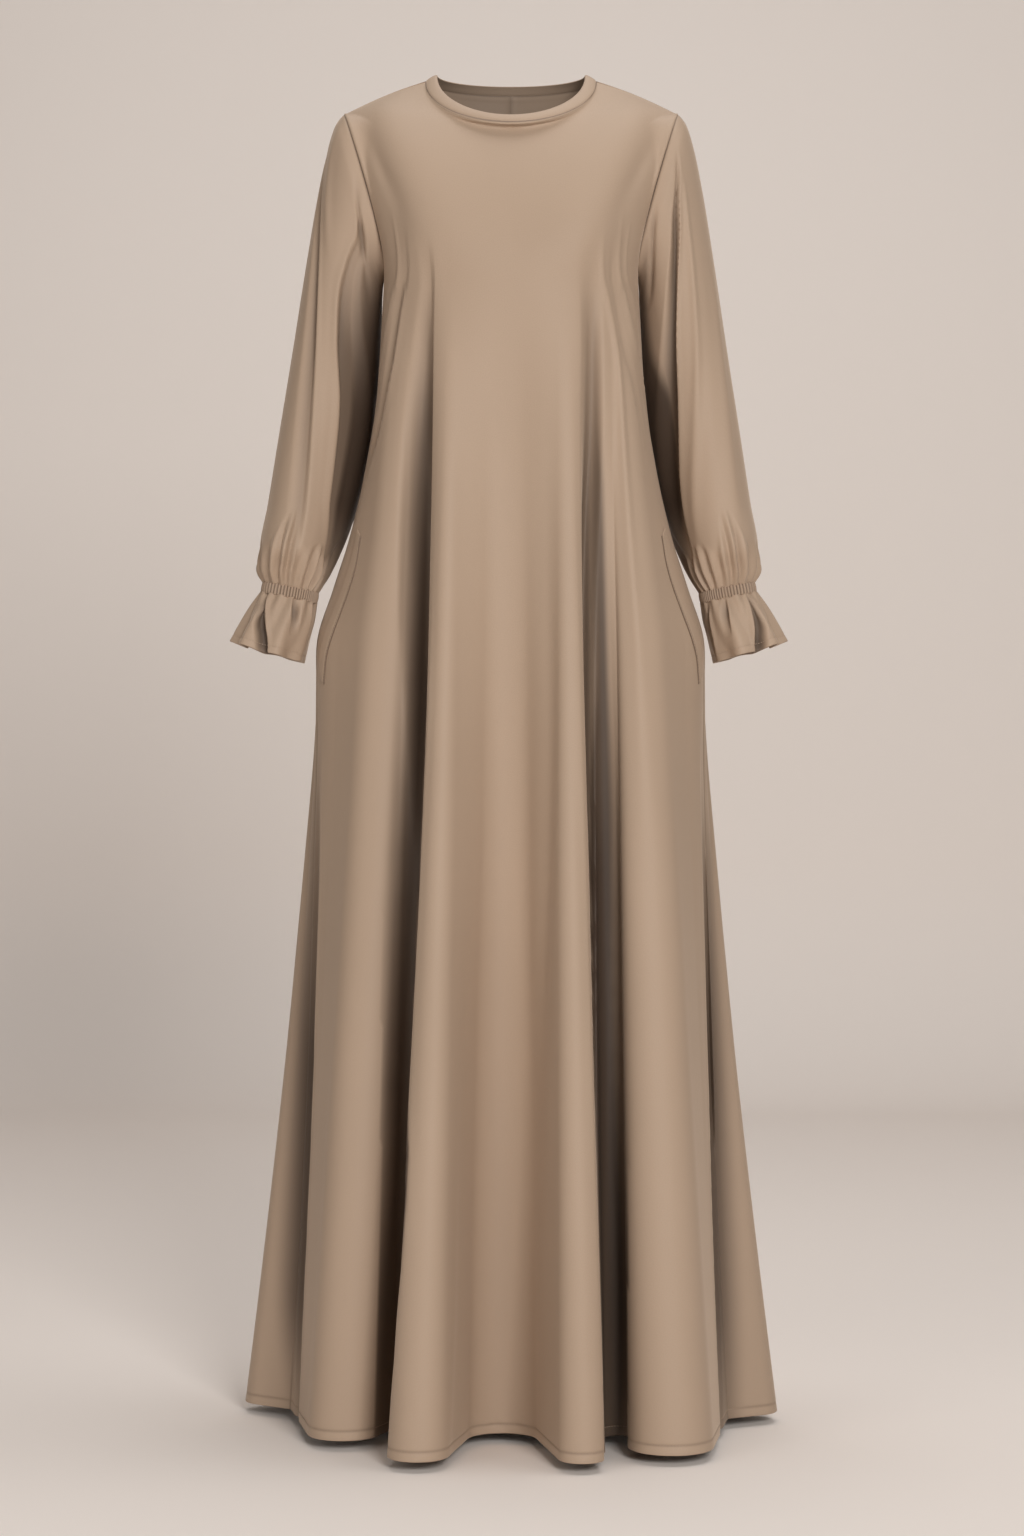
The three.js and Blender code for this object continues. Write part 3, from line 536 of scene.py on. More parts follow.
# The hem seen from above: arcs joined by the lines that touch them. A place counts folds, and a
# whole number is the middle of an arc.
def hemPlan(place):
    ahead = {key: np.roll(values, -1) for key, values in folds.items()}
    apartX, apartY = ahead["x"] - folds["x"], ahead["y"] - folds["y"]
    reach, aheadReach = folds["side"] * folds["radius"], ahead["side"] * ahead["radius"]
    apart = np.hypot(apartX, apartY)
    leaving = np.arctan2(apartY, apartX) + np.arcsin((reach - aheadReach) / apart)
    arriving = np.roll(leaving, 1)
    turned = folds["side"] * ((folds["side"] * (leaving - arriving)) % (2 * math.pi))
    lineLength = np.sqrt(apart ** 2 - (reach - aheadReach) ** 2)
    whole = np.floor(place + 0.5).astype(int)
    forward = np.where(place >= whole, 1, -1)
    i = whole % foldCount
    heading = np.where(forward > 0, leaving[i], arriving[i])
    halfLine = np.where(forward > 0, lineLength[i], np.roll(lineLength, 1)[i]) / 2
    halfArc = np.abs(turned[i]) * folds["radius"][i] / 2
    along = 2 * np.abs(place - whole) * (halfArc + halfLine)
    onArc = arriving[i] + turned[i] / 2 + forward * turned[i] * along / halfArc / 2
    facing = np.where(along < halfArc, onArc, heading)
    past = forward * np.maximum(along - halfArc, 0)
    x = folds["x"][i] + reach[i] * np.sin(facing) + past * np.cos(heading)
    y = folds["y"][i] - reach[i] * np.cos(facing) + past * np.sin(heading)
    return x, y


# The bust line: a superellipse, deeper in front than behind.
def bustLine(place):
    turn = np.radians(turnAt(place))
    power = 2 / bodyForm["bustSquare"]
    across, along = np.sin(turn), -np.cos(turn)
    deep = np.where(along < 0, bodyForm["bustFront"], bodyForm["bustBack"])
    x = bodyForm["bustHalf"] * np.sign(across) * np.abs(across) ** power
    return x, deep * np.sign(along) * np.abs(along) ** power


# The skirt runs from the bust line to the hem's plan, held out at the hips.
def skirtSurface(place, z):
    down = (cloth["bustZ"] - z) / (cloth["bustZ"] - cloth["hemZ"])
    (bustX, bustY), (hemX, hemY) = bustLine(place), hemPlan(place)
    held = hipsAt(-z) * bell(np.abs(turnAt(place)) - 90, bodyForm["hipSpread"]) * np.sign(bustX)
    x = mix(bustX, hemX, down ** lateAt(place)) + held
    return stack(x, mix(bustY, hemY, down ** bodyForm["depthGrowth"]), z)


# Half an ellipse on a slope, from the centre of the neck (0) to its side (1).
def neckLine(line, across, front):
    angle = across * math.pi / 2
    deep = np.where(front, -line["front"], line["back"])
    drop = np.where(front, line["frontDrop"], line["backDrop"])
    return stack(line["half"] * np.sin(angle), deep * np.cos(angle), line["side"] - drop * np.cos(angle))


def shoulderLine(out):
    x = mix(neckSeam["half"], shoulder["x"], out)
    z = mix(neckSeam["side"], shoulder["z"], out) + shoulder["rise"] * np.sin(math.pi * out)
    return stack(x, shoulder["y"] * out, z)


# From the shoulder point (0) down the front or back of the armhole to the underarm (1).
def armholeLine(down, front):
    fallen = (1 - np.cos(math.pi * down)) / 2
    deep = np.where(front, -armhole["front"], armhole["back"])
    x = mix(shoulder["x"], armhole["x"], 1 - np.abs(1 - fallen) ** armhole["curl"])
    bulge = np.abs(np.sin(math.pi * down)) ** armhole["round"]
    y = shoulder["y"] * (1 - fallen) + deep * bulge
    return stack(x, y, mix(shoulder["z"], armhole["z"], fallen))


# The top edge: neck, shoulder and armhole in turn. nearPoint is 1 at the shoulder point, where
# the cloth starts level.
def topEdge(place):
    m = fromBack(place)
    front = m >= meets["seam"]
    share = lambda low, high: np.clip((m - meets[low]) / (meets[high] - meets[low]), 0, 1)
    neck = np.where(front, 1 - share("frontNeckSide", "front"), m / meets["backNeckSide"])
    neck = np.clip(neck, 0, 1)
    inFront, behind = 1 - share("frontShoulder", "frontNeckSide"), share("backNeckSide", "backShoulder")
    out = np.where(front, inFront, behind)
    arm = np.where(front, 1 - share("seam", "frontShoulder"), share("backShoulder", "seam"))
    onNeck = (m < meets["backNeckSide"]) | (m > meets["frontNeckSide"])
    onShoulder = ~onNeck & ((m <= meets["backShoulder"]) | (m >= meets["frontShoulder"]))
    neckPoints, shoulderPoints = neckLine(neckSeam, neck, front), shoulderLine(out)
    points = np.where(onShoulder[..., None], shoulderPoints, armholeLine(arm, front))
    points = np.where(onNeck[..., None], neckPoints, points)
    points[..., 0] *= np.where(place < meets["front"], -1, 1)
    nearPoint = np.where(onNeck, 0, np.where(onShoulder, smoothStep(out), (1 - arm) ** 2))
    return points, nearPoint


# The yoke runs from the top edge (0) to the bust line (1).
def yokeSurface(place, down):
    above, nearPoint = topEdge(place)
    bustX, bustY = bustLine(place)
    fallen = down ** (1 + bodyForm["overShoulder"] * nearPoint)
    x = mix(above[..., 0], bustX, 1 - (1 - down) ** bodyForm["acrossEase"])
    y = mix(above[..., 1], bustY, 1 - (1 - down) ** bodyForm["deepEase"])
    return stack(x, y, mix(above[..., 2], cloth["bustZ"], fallen))


# A low round rise on each side of the chest.
def withChest(grid):
    across = (np.abs(grid[..., 0]) - bodyForm["chestX"]) / bodyForm["chestWide"]
    along = (grid[..., 2] - bodyForm["chestZ"]) / bodyForm["chestTall"]
    facing = np.clip(-grid[..., 1] / bodyForm["bustFront"], 0, 1)
    grid[..., 1] -= bodyForm["chestRise"] * facing * np.exp(-across ** 2 - along ** 2)
    return grid


# Rows of the yoke are evened out along their length, so that the corners of the neck and the
# shoulders don't run down it as ridges: their higher harmonics are faded out, less at the top edge
# and at the bust line, and not at all under the arms.
yokeEasing = {"harmonic": 6.5, "full": 0.16, "last": 0.72, "armFrom": 7.9, "armTo": 6.6,
              "backFrom": 3.9, "backFade": 1.3}


def eased(grid, place, down):
    waves = np.fft.rfft(grid, axis=1)
    kept = np.exp(-(np.arange(waves.shape[1]) / yokeEasing["harmonic"]) ** 4)
    smooth = np.fft.irfft(waves * kept[None, :, None], n=grid.shape[1], axis=1)
    m = fromBack(place)
    front = smoothStep((m - yokeEasing["armTo"]) / (yokeEasing["armFrom"] - yokeEasing["armTo"]))
    back = smoothStep((yokeEasing["backFrom"] - m) / yokeEasing["backFade"])
    share = fadeBetween(down, 0, yokeEasing["full"], yokeEasing["last"], 1) * np.maximum(front, back)
    return mix(grid, smooth, share[..., None])


# Fold edges: towards each line the cloth lifts forward (lift, over reach), then it turns in steeply
# (wall), runs along the bottom of the fold (floor) and comes back out slowly (slope). Widths are
# along the cloth. A line has a place at each distance down. side is where the fold lies, under is
# how far it runs beneath the edge, and straight is how much it goes level backwards rather than
# square to the cloth.
edgeColumns = ["down", "place", "depth", "wall", "floor", "slope", "lift", "reach", "under"]
edgeFolds = {
    "right main edge": {"side": -1, "straight": 2.5, "rows": [
        (196, 8.62, 0, 8, 1, 14, 0, 16, 0), (235, 8.56, 2.4, 6, 1, 14, 0.6, 16, 0),
        (300, 8.52, 8, 5, 4, 22, 1.5, 16, 1), (400, 8.54, 19, 5, 10, 30, 3, 18, 3),
        (530, 8.58, 30, 5, 15, 36, 5, 20, 6), (690, 8.68, 36, 5, 18, 40, 8, 22, 8),
        (860, 8.71, 34, 5, 18, 42, 8, 22, 8), (1060, 8.78, 22, 6, 14, 44, 5, 22, 5),
        (1200, 8.86, 12, 6, 12, 44, 3, 20, 3), (1436, 8.81, 2, 6, 8, 40, 0, 20, 0)]},
    "left main edge": {"side": 1, "straight": 2.5, "rows": [
        (196, 11.3, 0, 18, 1, 14, 0, 16, 0), (240, 11.39, 2.4, 16, 1, 16, 0.5, 16, 0),
        (300, 11.44, 8, 14, 1, 16, 2, 18, 0), (380, 11.38, 12, 16, 2, 16, 3, 20, 0),
        (500, 11.34, 20, 14, 4, 16, 4, 22, 1), (640, 11.32, 27, 11, 8, 18, 6, 24, 2),
        (760, 11.33, 30, 6, 14, 20, 8, 26, 4), (860, 11.34, 30, 5, 16, 20, 9, 26, 5),
        (1060, 11.28, 26, 5, 18, 22, 8, 26, 5), (1200, 11.25, 20, 5, 18, 24, 5, 24, 4),
        (1436, 11.15, 8, 6, 12, 24, 0, 20, 0)]},
    "right armhole drag": {"side": -1, "rows": [
        (196, 7.85, 0, 5, 1, 12, 0, 10, 0), (225, 7.5, 1.2, 4, 1, 12, 0.4, 9, 0),
        (249, 7.2, 3, 4, 2, 13, 1, 9, 0), (318, 6.93, 6, 4, 3, 14, 1.6, 9, 0),
        (387, 6.67, 5, 4, 3, 14, 1.4, 9, 0), (440, 6.3, 0, 5, 3, 14, 0, 9, 0)]},
    "right seam edge": {"side": -1, "straight": 8, "rows": [
        (690, 6.2, 0, 6, 3, 18, 0, 10, 0), (762, 6.25, 4, 5, 4, 18, 1, 10, 0),
        (864, 6.3, 11, 5, 5, 22, 2, 12, 1), (957, 6.3, 16, 5, 6, 26, 3, 12, 2),
        (1076, 6.32, 19, 5, 8, 28, 3, 12, 2), (1311, 6.37, 16, 5, 8, 30, 3, 12, 2),
        (1436, 6.45, 9, 5, 6, 26, 1, 12, 0)]},
    "left seam edge": {"side": 1, "straight": 8, "rows": [
        (700, 13.8, 0, 5, 3, 20, 0, 10, 0), (780, 13.76, 5, 5, 3, 24, 1, 10, 0),
        (864, 13.75, 11, 5, 4, 28, 2, 12, 1), (1071, 13.75, 17, 5, 5, 34, 3, 12, 2),
        (1221, 13.66, 16, 5, 6, 36, 3, 12, 2), (1436, 13.5, 9, 5, 6, 30, 1, 12, 0)]},
    "back right edge": {"side": -1, "rows": [
        (230, 1.5, 0, 8, 1, 14, 0, 16, 0), (330, 1.55, 4, 8, 2, 18, 1, 18, 0),
        (520, 1.5, 12, 8, 4, 24, 3, 20, 0), (800, 1.42, 16, 8, 6, 28, 5, 22, 0),
        (1100, 1.38, 10, 8, 6, 30, 3, 22, 0), (1436, 1.4, 1, 8, 6, 30, 0, 20, 0)]},
    "back left edge": {"side": 1, "rows": [
        (250, 18.5, 0, 8, 1, 14, 0, 16, 0), (360, 18.46, 5, 8, 2, 18, 1, 18, 0),
        (560, 18.5, 13, 8, 4, 24, 3, 20, 0), (820, 18.57, 15, 8, 6, 28, 5, 22, 0),
        (1120, 18.6, 9, 8, 6, 30, 3, 22, 0), (1436, 18.6, 1, 8, 6, 30, 0, 20, 0)]},
    "back right hip edge": {"side": 1, "rows": [
        (480, 3.5, 0, 6, 2, 16, 0, 14, 0), (700, 3.45, 7, 6, 4, 20, 2, 16, 0),
        (1000, 3.4, 9, 6, 5, 22, 2, 16, 0), (1436, 3.4, 0, 6, 5, 22, 0, 16, 0)]},
    "back left hip edge": {"side": -1, "rows": [
        (520, 16.5, 0, 6, 2, 16, 0, 14, 0), (760, 16.55, 8, 6, 4, 20, 2, 16, 0),
        (1040, 16.6, 8, 6, 5, 22, 2, 16, 0), (1436, 16.6, 0, 6, 5, 22, 0, 16, 0)]},
}
# Soft creases: bells across the line, troughs where depth is below 0 and ridges above.
creaseColumns = ["down", "place", "depth", "wide"]
creases = {
    "left drag": [
        (195, 11.9, 0, 5), (222, 12.15, 1.2, 3.6), (252, 12.39, 2.6, 3.6), (327, 12.77, 3.4, 4),
        (405, 12.86, 3.6, 4.5), (492, 12.92, 3.6, 5.5), (633, 12.98, 3.2, 7), (753, 13.01, 2, 10),
        (860, 13.03, 0, 14)],
    "beside the left drag": [
        (200, 12.3, 0, 6), (243, 12.68, -2, 4.5), (300, 13, -3, 5), (340, 13.2, -2, 6), (430, 13.4, 0, 6)],
    "left armhole drag": [
        (195, 12.4, 0, 4), (215, 12.6, 1, 3), (243, 12.97, 3, 3), (297, 13.25, 3.6, 3.4),
        (345, 13.6, 2, 4), (400, 13.8, 0, 5)],
    "left armhole edge": [(190, 12.75, 0, 4), (205, 12.85, 1, 3), (249, 13.3, 1.8, 3), (300, 13.5, 0, 4)],
    "left armhole dent": [
        (70, 12.4, 0, 12), (110, 12.4, -2, 11), (150, 12.3, -1.4, 12), (190, 12.2, 0, 12)],
    "right armhole dent": [(70, 7.7, 0, 12), (110, 7.6, -2.4, 11), (150, 7.7, -1.6, 12), (195, 7.8, 0, 12)],
    "right armhole fold": [
        (190, 7.4, 0, 4), (208, 7.26, 1.2, 3.5), (246, 6.81, 2.2, 4), (288, 6.6, 1.8, 4),
        (350, 6.3, 0, 4)],
    "centre dip": [
        (360, 10.62, 0, 16), (468, 10.62, -1.5, 14), (633, 10.62, -3, 13), (858, 10.53, -3.5, 15),
        (1062, 10.39, -2, 20), (1250, 10.3, 0, 24)],
    "centre filling": [
        (420, 10.0, 0, 34), (560, 9.9, 3, 44), (800, 9.8, 4, 46), (1000, 9.8, 1, 46), (1150, 9.8, 0, 40)],
    "centre ridge": [
        (700, 9.33, 0, 18), (858, 9.42, 0.4, 12), (1059, 9.37, 0.7, 10), (1284, 9.36, 1, 9),
        (1436, 9.28, 0.8, 9)],
    "right lobe dent": [(560, 7.2, 0, 20), (640, 7.2, -1.5, 14), (760, 7.15, -1, 16), (900, 7.1, 0, 20)],
    "back drag right": [(150, 3.6, 0, 7), (215, 3.2, -1.6, 7), (300, 2.8, -2.2, 8), (430, 2.5, 0, 9)],
    "back drag left": [(150, 16.4, 0, 7), (220, 16.9, -1.8, 7), (320, 17.3, -2, 8), (460, 17.6, 0, 9)],
    "back drag right two": [(190, 4.4, 0, 6), (250, 4.1, 1.6, 6), (350, 3.7, 1.8, 8), (520, 3.5, 0, 9)],
    "back drag left two": [(190, 15.7, 0, 6), (260, 16, 1.6, 6), (370, 16.3, 1.6, 8), (500, 16.5, 0, 9)],
}


# How far each point of the rows is from a line, along the cloth and positive on the line's side.
def fromLine(along, place, linePlace, side):
    column = np.interp(linePlace, place, np.arange(len(place)))
    low = np.clip(np.floor(column).astype(int), 0, len(place) - 2)
    rows = np.arange(len(along))
    lineAt = mix(along[rows, low], along[rows, low + 1], column - low)
    return (along - lineAt[:, None]) * side


# A line's named values at the distance down that each row has where the line runs.
def lineValues(downOf, place, table, names):
    values = dict(zip(names, np.array(table, float).T))
    down = downOf[:, nearest(place, values["place"].mean())]
    return {name: smoothThrough(values[names[0]], values[name])(down) for name in names[1:]}


# The lift and the slope are smooth steps up to the line and back out, and the wall is one down
# between them. What runs beneath the edge is drawn towards it along the cloth. It also returns
# how deep each point lies in the folds, from which their shade is painted.
def withEdgeFolds(grid, place, downOf, lines, normals, forward):
    tangents = unit(np.roll(grid, -1, axis=1) - np.roll(grid, 1, axis=1))
    along = lengthAcross(grid)
    moved, hollow = np.zeros(grid.shape), np.zeros(grid.shape[:2])
    for line in lines.values():
        row = lineValues(downOf, place, line["rows"], edgeColumns)
        row = {name: values[:, None] for name, values in row.items()}
        off = fromLine(along, place, row["place"][:, 0], line["side"])
        inward = smoothStep(off / row["wall"])
        back = smoothStep((off - row["wall"] - row["floor"]) / row["slope"])
        lift = row["lift"] * smoothStep(off / row["reach"] + 1) * (1 - inward)
        released = smoothStep((off - row["wall"]) / (row["floor"] + row["slope"]))
        drawn = row["under"] * inward * (1 - released)
        outward = unit(normals + forward * line.get("straight", 0))
        moved += forward * lift[..., None] - outward * (row["depth"] * inward * (1 - back))[..., None]
        moved -= tangents * (drawn * line["side"])[..., None]
        hollow += row["depth"] * inward * (1 - back)
    return grid + moved, hollow


# The sum of every crease's bell.
def creaseRelief(grid, place, downOf, lines):
    along = lengthAcross(grid)
    relief = np.zeros(grid.shape[:2])
    for table in lines.values():
        row = lineValues(downOf, place, table, creaseColumns)
        off = fromLine(along, place, row["place"], 1)
        relief += row["depth"][:, None] * bell(off, row["wide"][:, None])
    return relief


# The centre back, where the places start and end, and the side seams.
seams = (0, meets["seam"], leftSeam, foldCount)


def fromSeam(grid, place, seam):
    column = nearest(place, seam % foldCount)
    return np.linalg.norm(grid - grid[:, column:column + 1], axis=2)


# Seams sink into the cloth.
def seamRelief(grid, place):
    relief = np.zeros(grid.shape[:2])
    for seam in seams:
        near = np.abs(place - seam) < cloth["seamReach"]
        relief -= cloth["seamDip"] * bell(fromSeam(grid, place, seam), cloth["seamWidth"]) * near
    return relief


# The painted shade beside the front's fold edges: it sets in over start, and beyond full it fades
# out over fade. These are widths across the garment from the line, on the side where the fold lies.
shadeColumns = ["down", "place", "amount", "start", "full", "fade"]
paintedEdgeShades = {
    "right main edge": {"side": -1, "rows": [
        (235, 8.56, 0, 4, 4, 14), (300, 8.52, 0.35, 4, 4, 16), (380, 8.52, 0.5, 4, 5, 20),
        (450, 8.54, 0.75, 3, 7, 26), (630, 8.65, 0.85, 3, 9, 28), (860, 8.71, 0.9, 3, 12, 32),
        (1060, 8.78, 0.9, 3, 12, 34), (1300, 8.84, 0.88, 3, 14, 30), (1436, 8.81, 0.7, 3, 10, 28)]},
    "left main edge": {"side": 1, "rows": [
        (235, 11.39, 0, 18, 16, 10), (300, 11.44, 0.3, 16, 14, 12), (380, 11.4, 0.45, 18, 16, 10),
        (450, 11.36, 0.65, 20, 20, 8), (630, 11.32, 0.85, 20, 22, 8), (760, 11.33, 0.9, 8, 22, 12),
        (860, 11.34, 0.96, 4, 20, 16), (1060, 11.28, 0.96, 3, 18, 18), (1300, 11.2, 0.92, 3, 22, 22),
        (1436, 11.15, 0.8, 3, 16, 22)]},
    "right seam edge": {"side": -1, "rows": [
        (720, 6.22, 0, 3, 4, 16), (864, 6.3, 0.45, 3, 8, 14), (957, 6.3, 0.65, 3, 8, 22),
        (1076, 6.32, 0.85, 3, 8, 30), (1300, 6.37, 0.8, 3, 8, 34), (1436, 6.45, 0.1, 3, 4, 20)]},
    "left seam edge": {"side": 1, "rows": [
        (780, 13.76, 0, 3, 2, 14), (864, 13.75, 0.55, 3, 3, 18), (1071, 13.75, 0.85, 3, 3, 30),
        (1300, 13.6, 0.85, 3, 4, 36), (1436, 13.48, 0.5, 3, 8, 30)]},
}


# The darkest of these painted shades at each point.
def paintedShadeBesideEdges(grid, place, downOf):
    shade = np.zeros(grid.shape[:2])
    for line in paintedEdgeShades.values():
        row = lineValues(downOf, place, line["rows"], shadeColumns)
        off = fromLine(grid[..., 0], place, row["place"], line["side"])
        row = {name: values[:, None] for name, values in row.items()}
        near = np.abs(place - row["place"]) < cloth["shadeReach"]
        dark = smoothStep(off / row["start"]) * (1 - smoothStep((off - row["full"]) / row["fade"]))
        shade = np.maximum(shade, row["amount"] * dark * near)
    return shade


# How dark each fine line is, and how wide.
fineLines = {"neck seam": (0.7, 1.3), "neck stitches": (0.3, 0.9), "hem stitches": (0.4, 0.9),
             "panel seam": (0.45, 1.2), "armhole seam": (0.8, 1.4), "strip's edge": (0.6, 0.7),
             "strip's stitches": (0.5, 0.9)}


def darkLine(distance, name):
    dark, wide = fineLines[name]
    return dark * bell(distance, wide)


def onNeck(place):
    m = fromBack(place)
    return (m <= meets["backNeckSide"]) | (m >= meets["frontNeckSide"])


# Fine dark lines along the seams, the neck's stitches and the hem's.
def seamShade(grid, place, heightOf, stitchZ):
    below = lengthDown(grid)
    stitches = darkLine(below - cloth["neckStitch"], "neck stitches")
    shade = onNeck(place) * np.maximum(darkLine(below, "neck seam"), stitches)
    shade = np.maximum(shade, darkLine(heightOf - stitchZ, "hem stitches"))
    for seam in seams:
        shade = np.maximum(shade, darkLine(fromSeam(grid, place, seam), "panel seam"))
    return shade


pucker = {"place": 9.9, "wide": 0.45, "above": 10, "tall": 10, "rise": 0.8, "slant": 1.2, "length": 3.4}


# Small slanting puckers above the hem of the front's hollow: a sine along a slant, under a bell.
def hemPuckers(grid, place, heightOf):
    above = heightOf - cloth["hemZ"]
    near = bell(place - pucker["place"], pucker["wide"]) * bell(above - pucker["above"], pucker["tall"])
    slanting = (grid[..., 0] + pucker["slant"] * above) / pucker["length"]
    return pucker["rise"] * near * np.sin(slanting)


# The stitch line below the neck's binding lies in a shallow groove.
def neckGroove(grid, place):
    fromStitches = lengthDown(grid) - cloth["neckStitch"]
    return cloth["neckSink"] * bell(fromStitches, cloth["neckSinkWidth"]) * onNeck(place)


# Columns crowd where the folds have their edges: each stretch between two corners of the top edge
# holds as many as its length times 1 plus a bell at every edge.
crowded = [(8.55, 0.32, 2.2), (11.33, 0.3, 2.2), (6.35, 0.3, 1.2), (13.7, 0.3, 1.2), (12.1, 0.25, 0.8),
           (3.4, 0.3, 0.8), (16.6, 0.3, 0.8)]
fineSteps = 800


def crowdedPlaces():
    half = [0, meets["backNeckSide"], meets["backShoulder"], meets["seam"], meets["frontShoulder"],
            meets["frontNeckSide"]]
    corners = half + [foldCount - corner for corner in half[::-1]]
    stretches = []
    for first, last in zip(corners[:-1], corners[1:]):
        fine = np.linspace(first, last, fineSteps + 1)
        share = 1 + sum(extra * bell(fine - at, wide) for at, wide, extra in crowded)
        total = np.concatenate([[0], np.cumsum((share[1:] + share[:-1]) / 2)])
        total = total * (last - first) / fineSteps
        inFront = first >= meets["seam"] and last <= leftSeam
        count = round(float(total[-1]) * cloth["frontCloseness" if inFront else "backCloseness"])
        stretches.append(np.interp(np.linspace(0, total[-1], count + 1), total, fine)[:-1])
    return np.concatenate(stretches)


# The yoke is eased on evenly spaced places and read off at the crowded ones.
def buildYoke(place):
    perFold = 20
    even = np.arange(foldCount * perFold) / perFold
    nearEdge = np.linspace(0, cloth["edgeShare"], cloth["edgeRows"] + 1)[:-1]
    rest = np.linspace(cloth["edgeShare"], 1, cloth["yokeSteps"] - cloth["edgeRows"])
    down = np.concatenate([nearEdge, rest])[:, None]
    evenYoke = eased(yokeSurface(np.broadcast_to(even, (len(down), len(even))), down), even, down)
    evenYoke = np.concatenate([evenYoke, evenYoke[:, :1]], axis=1)
    column = place * perFold
    low = np.floor(column).astype(int)
    yoke = mix(evenYoke[:, low], evenYoke[:, low + 1], (column - low)[None, :, None])
    yoke[0] = topEdge(place)[0]
    return yoke


# Even rows down the skirt, and close ones at the top of the hem's turn, its stitches and its edge.
def skirtHeights(hemTop, stitchZ):
    step, rows = cloth["skirtStep"], cloth["hemRows"]
    long = np.arange(cloth["bustZ"] - step, hemTop + cloth["lastStep"], -step)
    hem = [hemTop + np.array(rows["turn"]), stitchZ + np.array(rows["stitch"]),
           cloth["hemZ"] + np.array(rows["edge"])]
    return np.concatenate([long, *hem])[:, None]


# The body's two walls: the plain form, then its edge folds, then creases, seams, puckers and
# grooves along the normals, and the hem's turn as a thicker wall.
def buildBody():
    place = crowdedPlaces()
    yoke = buildYoke(place)
    hemTop, stitchZ = cloth["hemZ"] + cloth["hemTurn"], cloth["hemZ"] + cloth["hemStitch"]
    heights = skirtHeights(hemTop, stitchZ)
    skirt = skirtSurface(np.broadcast_to(place, (len(heights), len(place))), heights)
    grid = withChest(np.concatenate([yoke, skirt]))
    heightOf = grid[..., 2].copy()
    normals = gridNormals(grid, True)
    inFront = np.abs(place - meets["front"]) < meets["front"] - meets["seam"]
    forward = stack(0, np.where(inFront, -1, 1), 0)
    grid, hollow = withEdgeFolds(grid, place, -heightOf, edgeFolds, normals, forward)
    normals = gridNormals(grid, True)
    relief = creaseRelief(grid, place, -heightOf, creases) + seamRelief(grid, place)
    relief += hemPuckers(grid, place, heightOf) - neckGroove(grid, place)
    stitched = cloth["hemSink"] * bell(heightOf - stitchZ, cloth["hemSinkWidth"])
    outer = grid + normals * (relief - stitched)[..., None]
    outer[len(yoke):, :, 2] = heightOf[len(yoke):]
    outer[0] = yoke[0]
    turned = smoothStep((hemTop + cloth["turnStep"] - heightOf) / cloth["turnStep"])
    thick = mix(cloth["wall"], cloth["hemWall"], turned)
    inner = outer - gridNormals(outer, True) * thick[..., None]
    # Painted shade: darker with the depth of the edge folds and in bands beside the front's fold edges,
    # with the fine dark seam and stitch lines joined to it.
    shade = cloth["foldShade"] * smoothStep(hollow / cloth["darkFold"])
    shade = np.maximum(shade, paintedShadeBesideEdges(grid, place, -heightOf))
    return {"place": place, "outer": outer, "inner": inner, "normals": gridNormals(outer, True),
            "hollow": np.maximum(shade, seamShade(grid, place, heightOf, stitchZ))}


body = buildBody()


# The map of a panel's cut: across from its own straight grain, and down along it.
def cutMap(grid, grainColumn):
    across = lengthAcross(grid, grainColumn)
    down = lengthDown(grid)[:, grainColumn:grainColumn + 1] * np.ones_like(across)
    return np.stack([across, -down], axis=-1)


# A panel is the body's columns from one seam to the next.
def makePanel(name, first, last, grain, flat, area):
    place = body["place"]
    end = len(place) if last == foldCount else nearest(place, last)
    columns = np.arange(nearest(place, first), end + 1) % len(place)
    outer, inner = body["outer"][:, columns], body["inner"][:, columns]
    uvGrid = cutMap(outer, nearest(place[columns], grain))
    hollow = body["hollow"][:, columns]
    panel = clothShell(name + "_panel", outer, inner, False, mainCloth, uvGrid, hollow=hollow)
    wearIt(panel, name)
    print("   ", name, "cut", round(float(clothArea(outer)), 3), "m2, hem",
          round(float(lengthAcross(outer)[-1, -1])), "mm")


print("abaya: front and back panels")
panels = {
    "front": {"first": meets["seam"], "last": leftSeam, "grain": meets["front"], "flat": (1.37, 1.41),
              "area": 1.12},
    "back_right": {"first": 0, "last": meets["seam"], "grain": 1, "flat": (0.72, 1.44), "area": 0.51},
    "back_left": {"first": leftSeam, "last": foldCount, "grain": foldCount - 1, "flat": (0.72, 1.44),
                  "area": 0.53},
}
for panelName, cut in panels.items():
    makePanel(panelName, cut["first"], cut["last"], cut["grain"], cut["flat"], cut["area"])

hemLine = nearest(body["outer"][:, 0, 2], cloth["hemZ"] + cloth["hemStitch"])
sewOn(stitchRow("hem_stitches", body["outer"][hemLine], body["normals"][hemLine], threadFinish, True))

print("abaya: neck binding")

binding = {"wall": 2.0, "rise": 0.9, "steps": 14, "sunk": 0.5, "thinned": 0.5, "hollow": 0.4}
hair = 0.001        # in folds, the least step between two columns at a corner of the neck


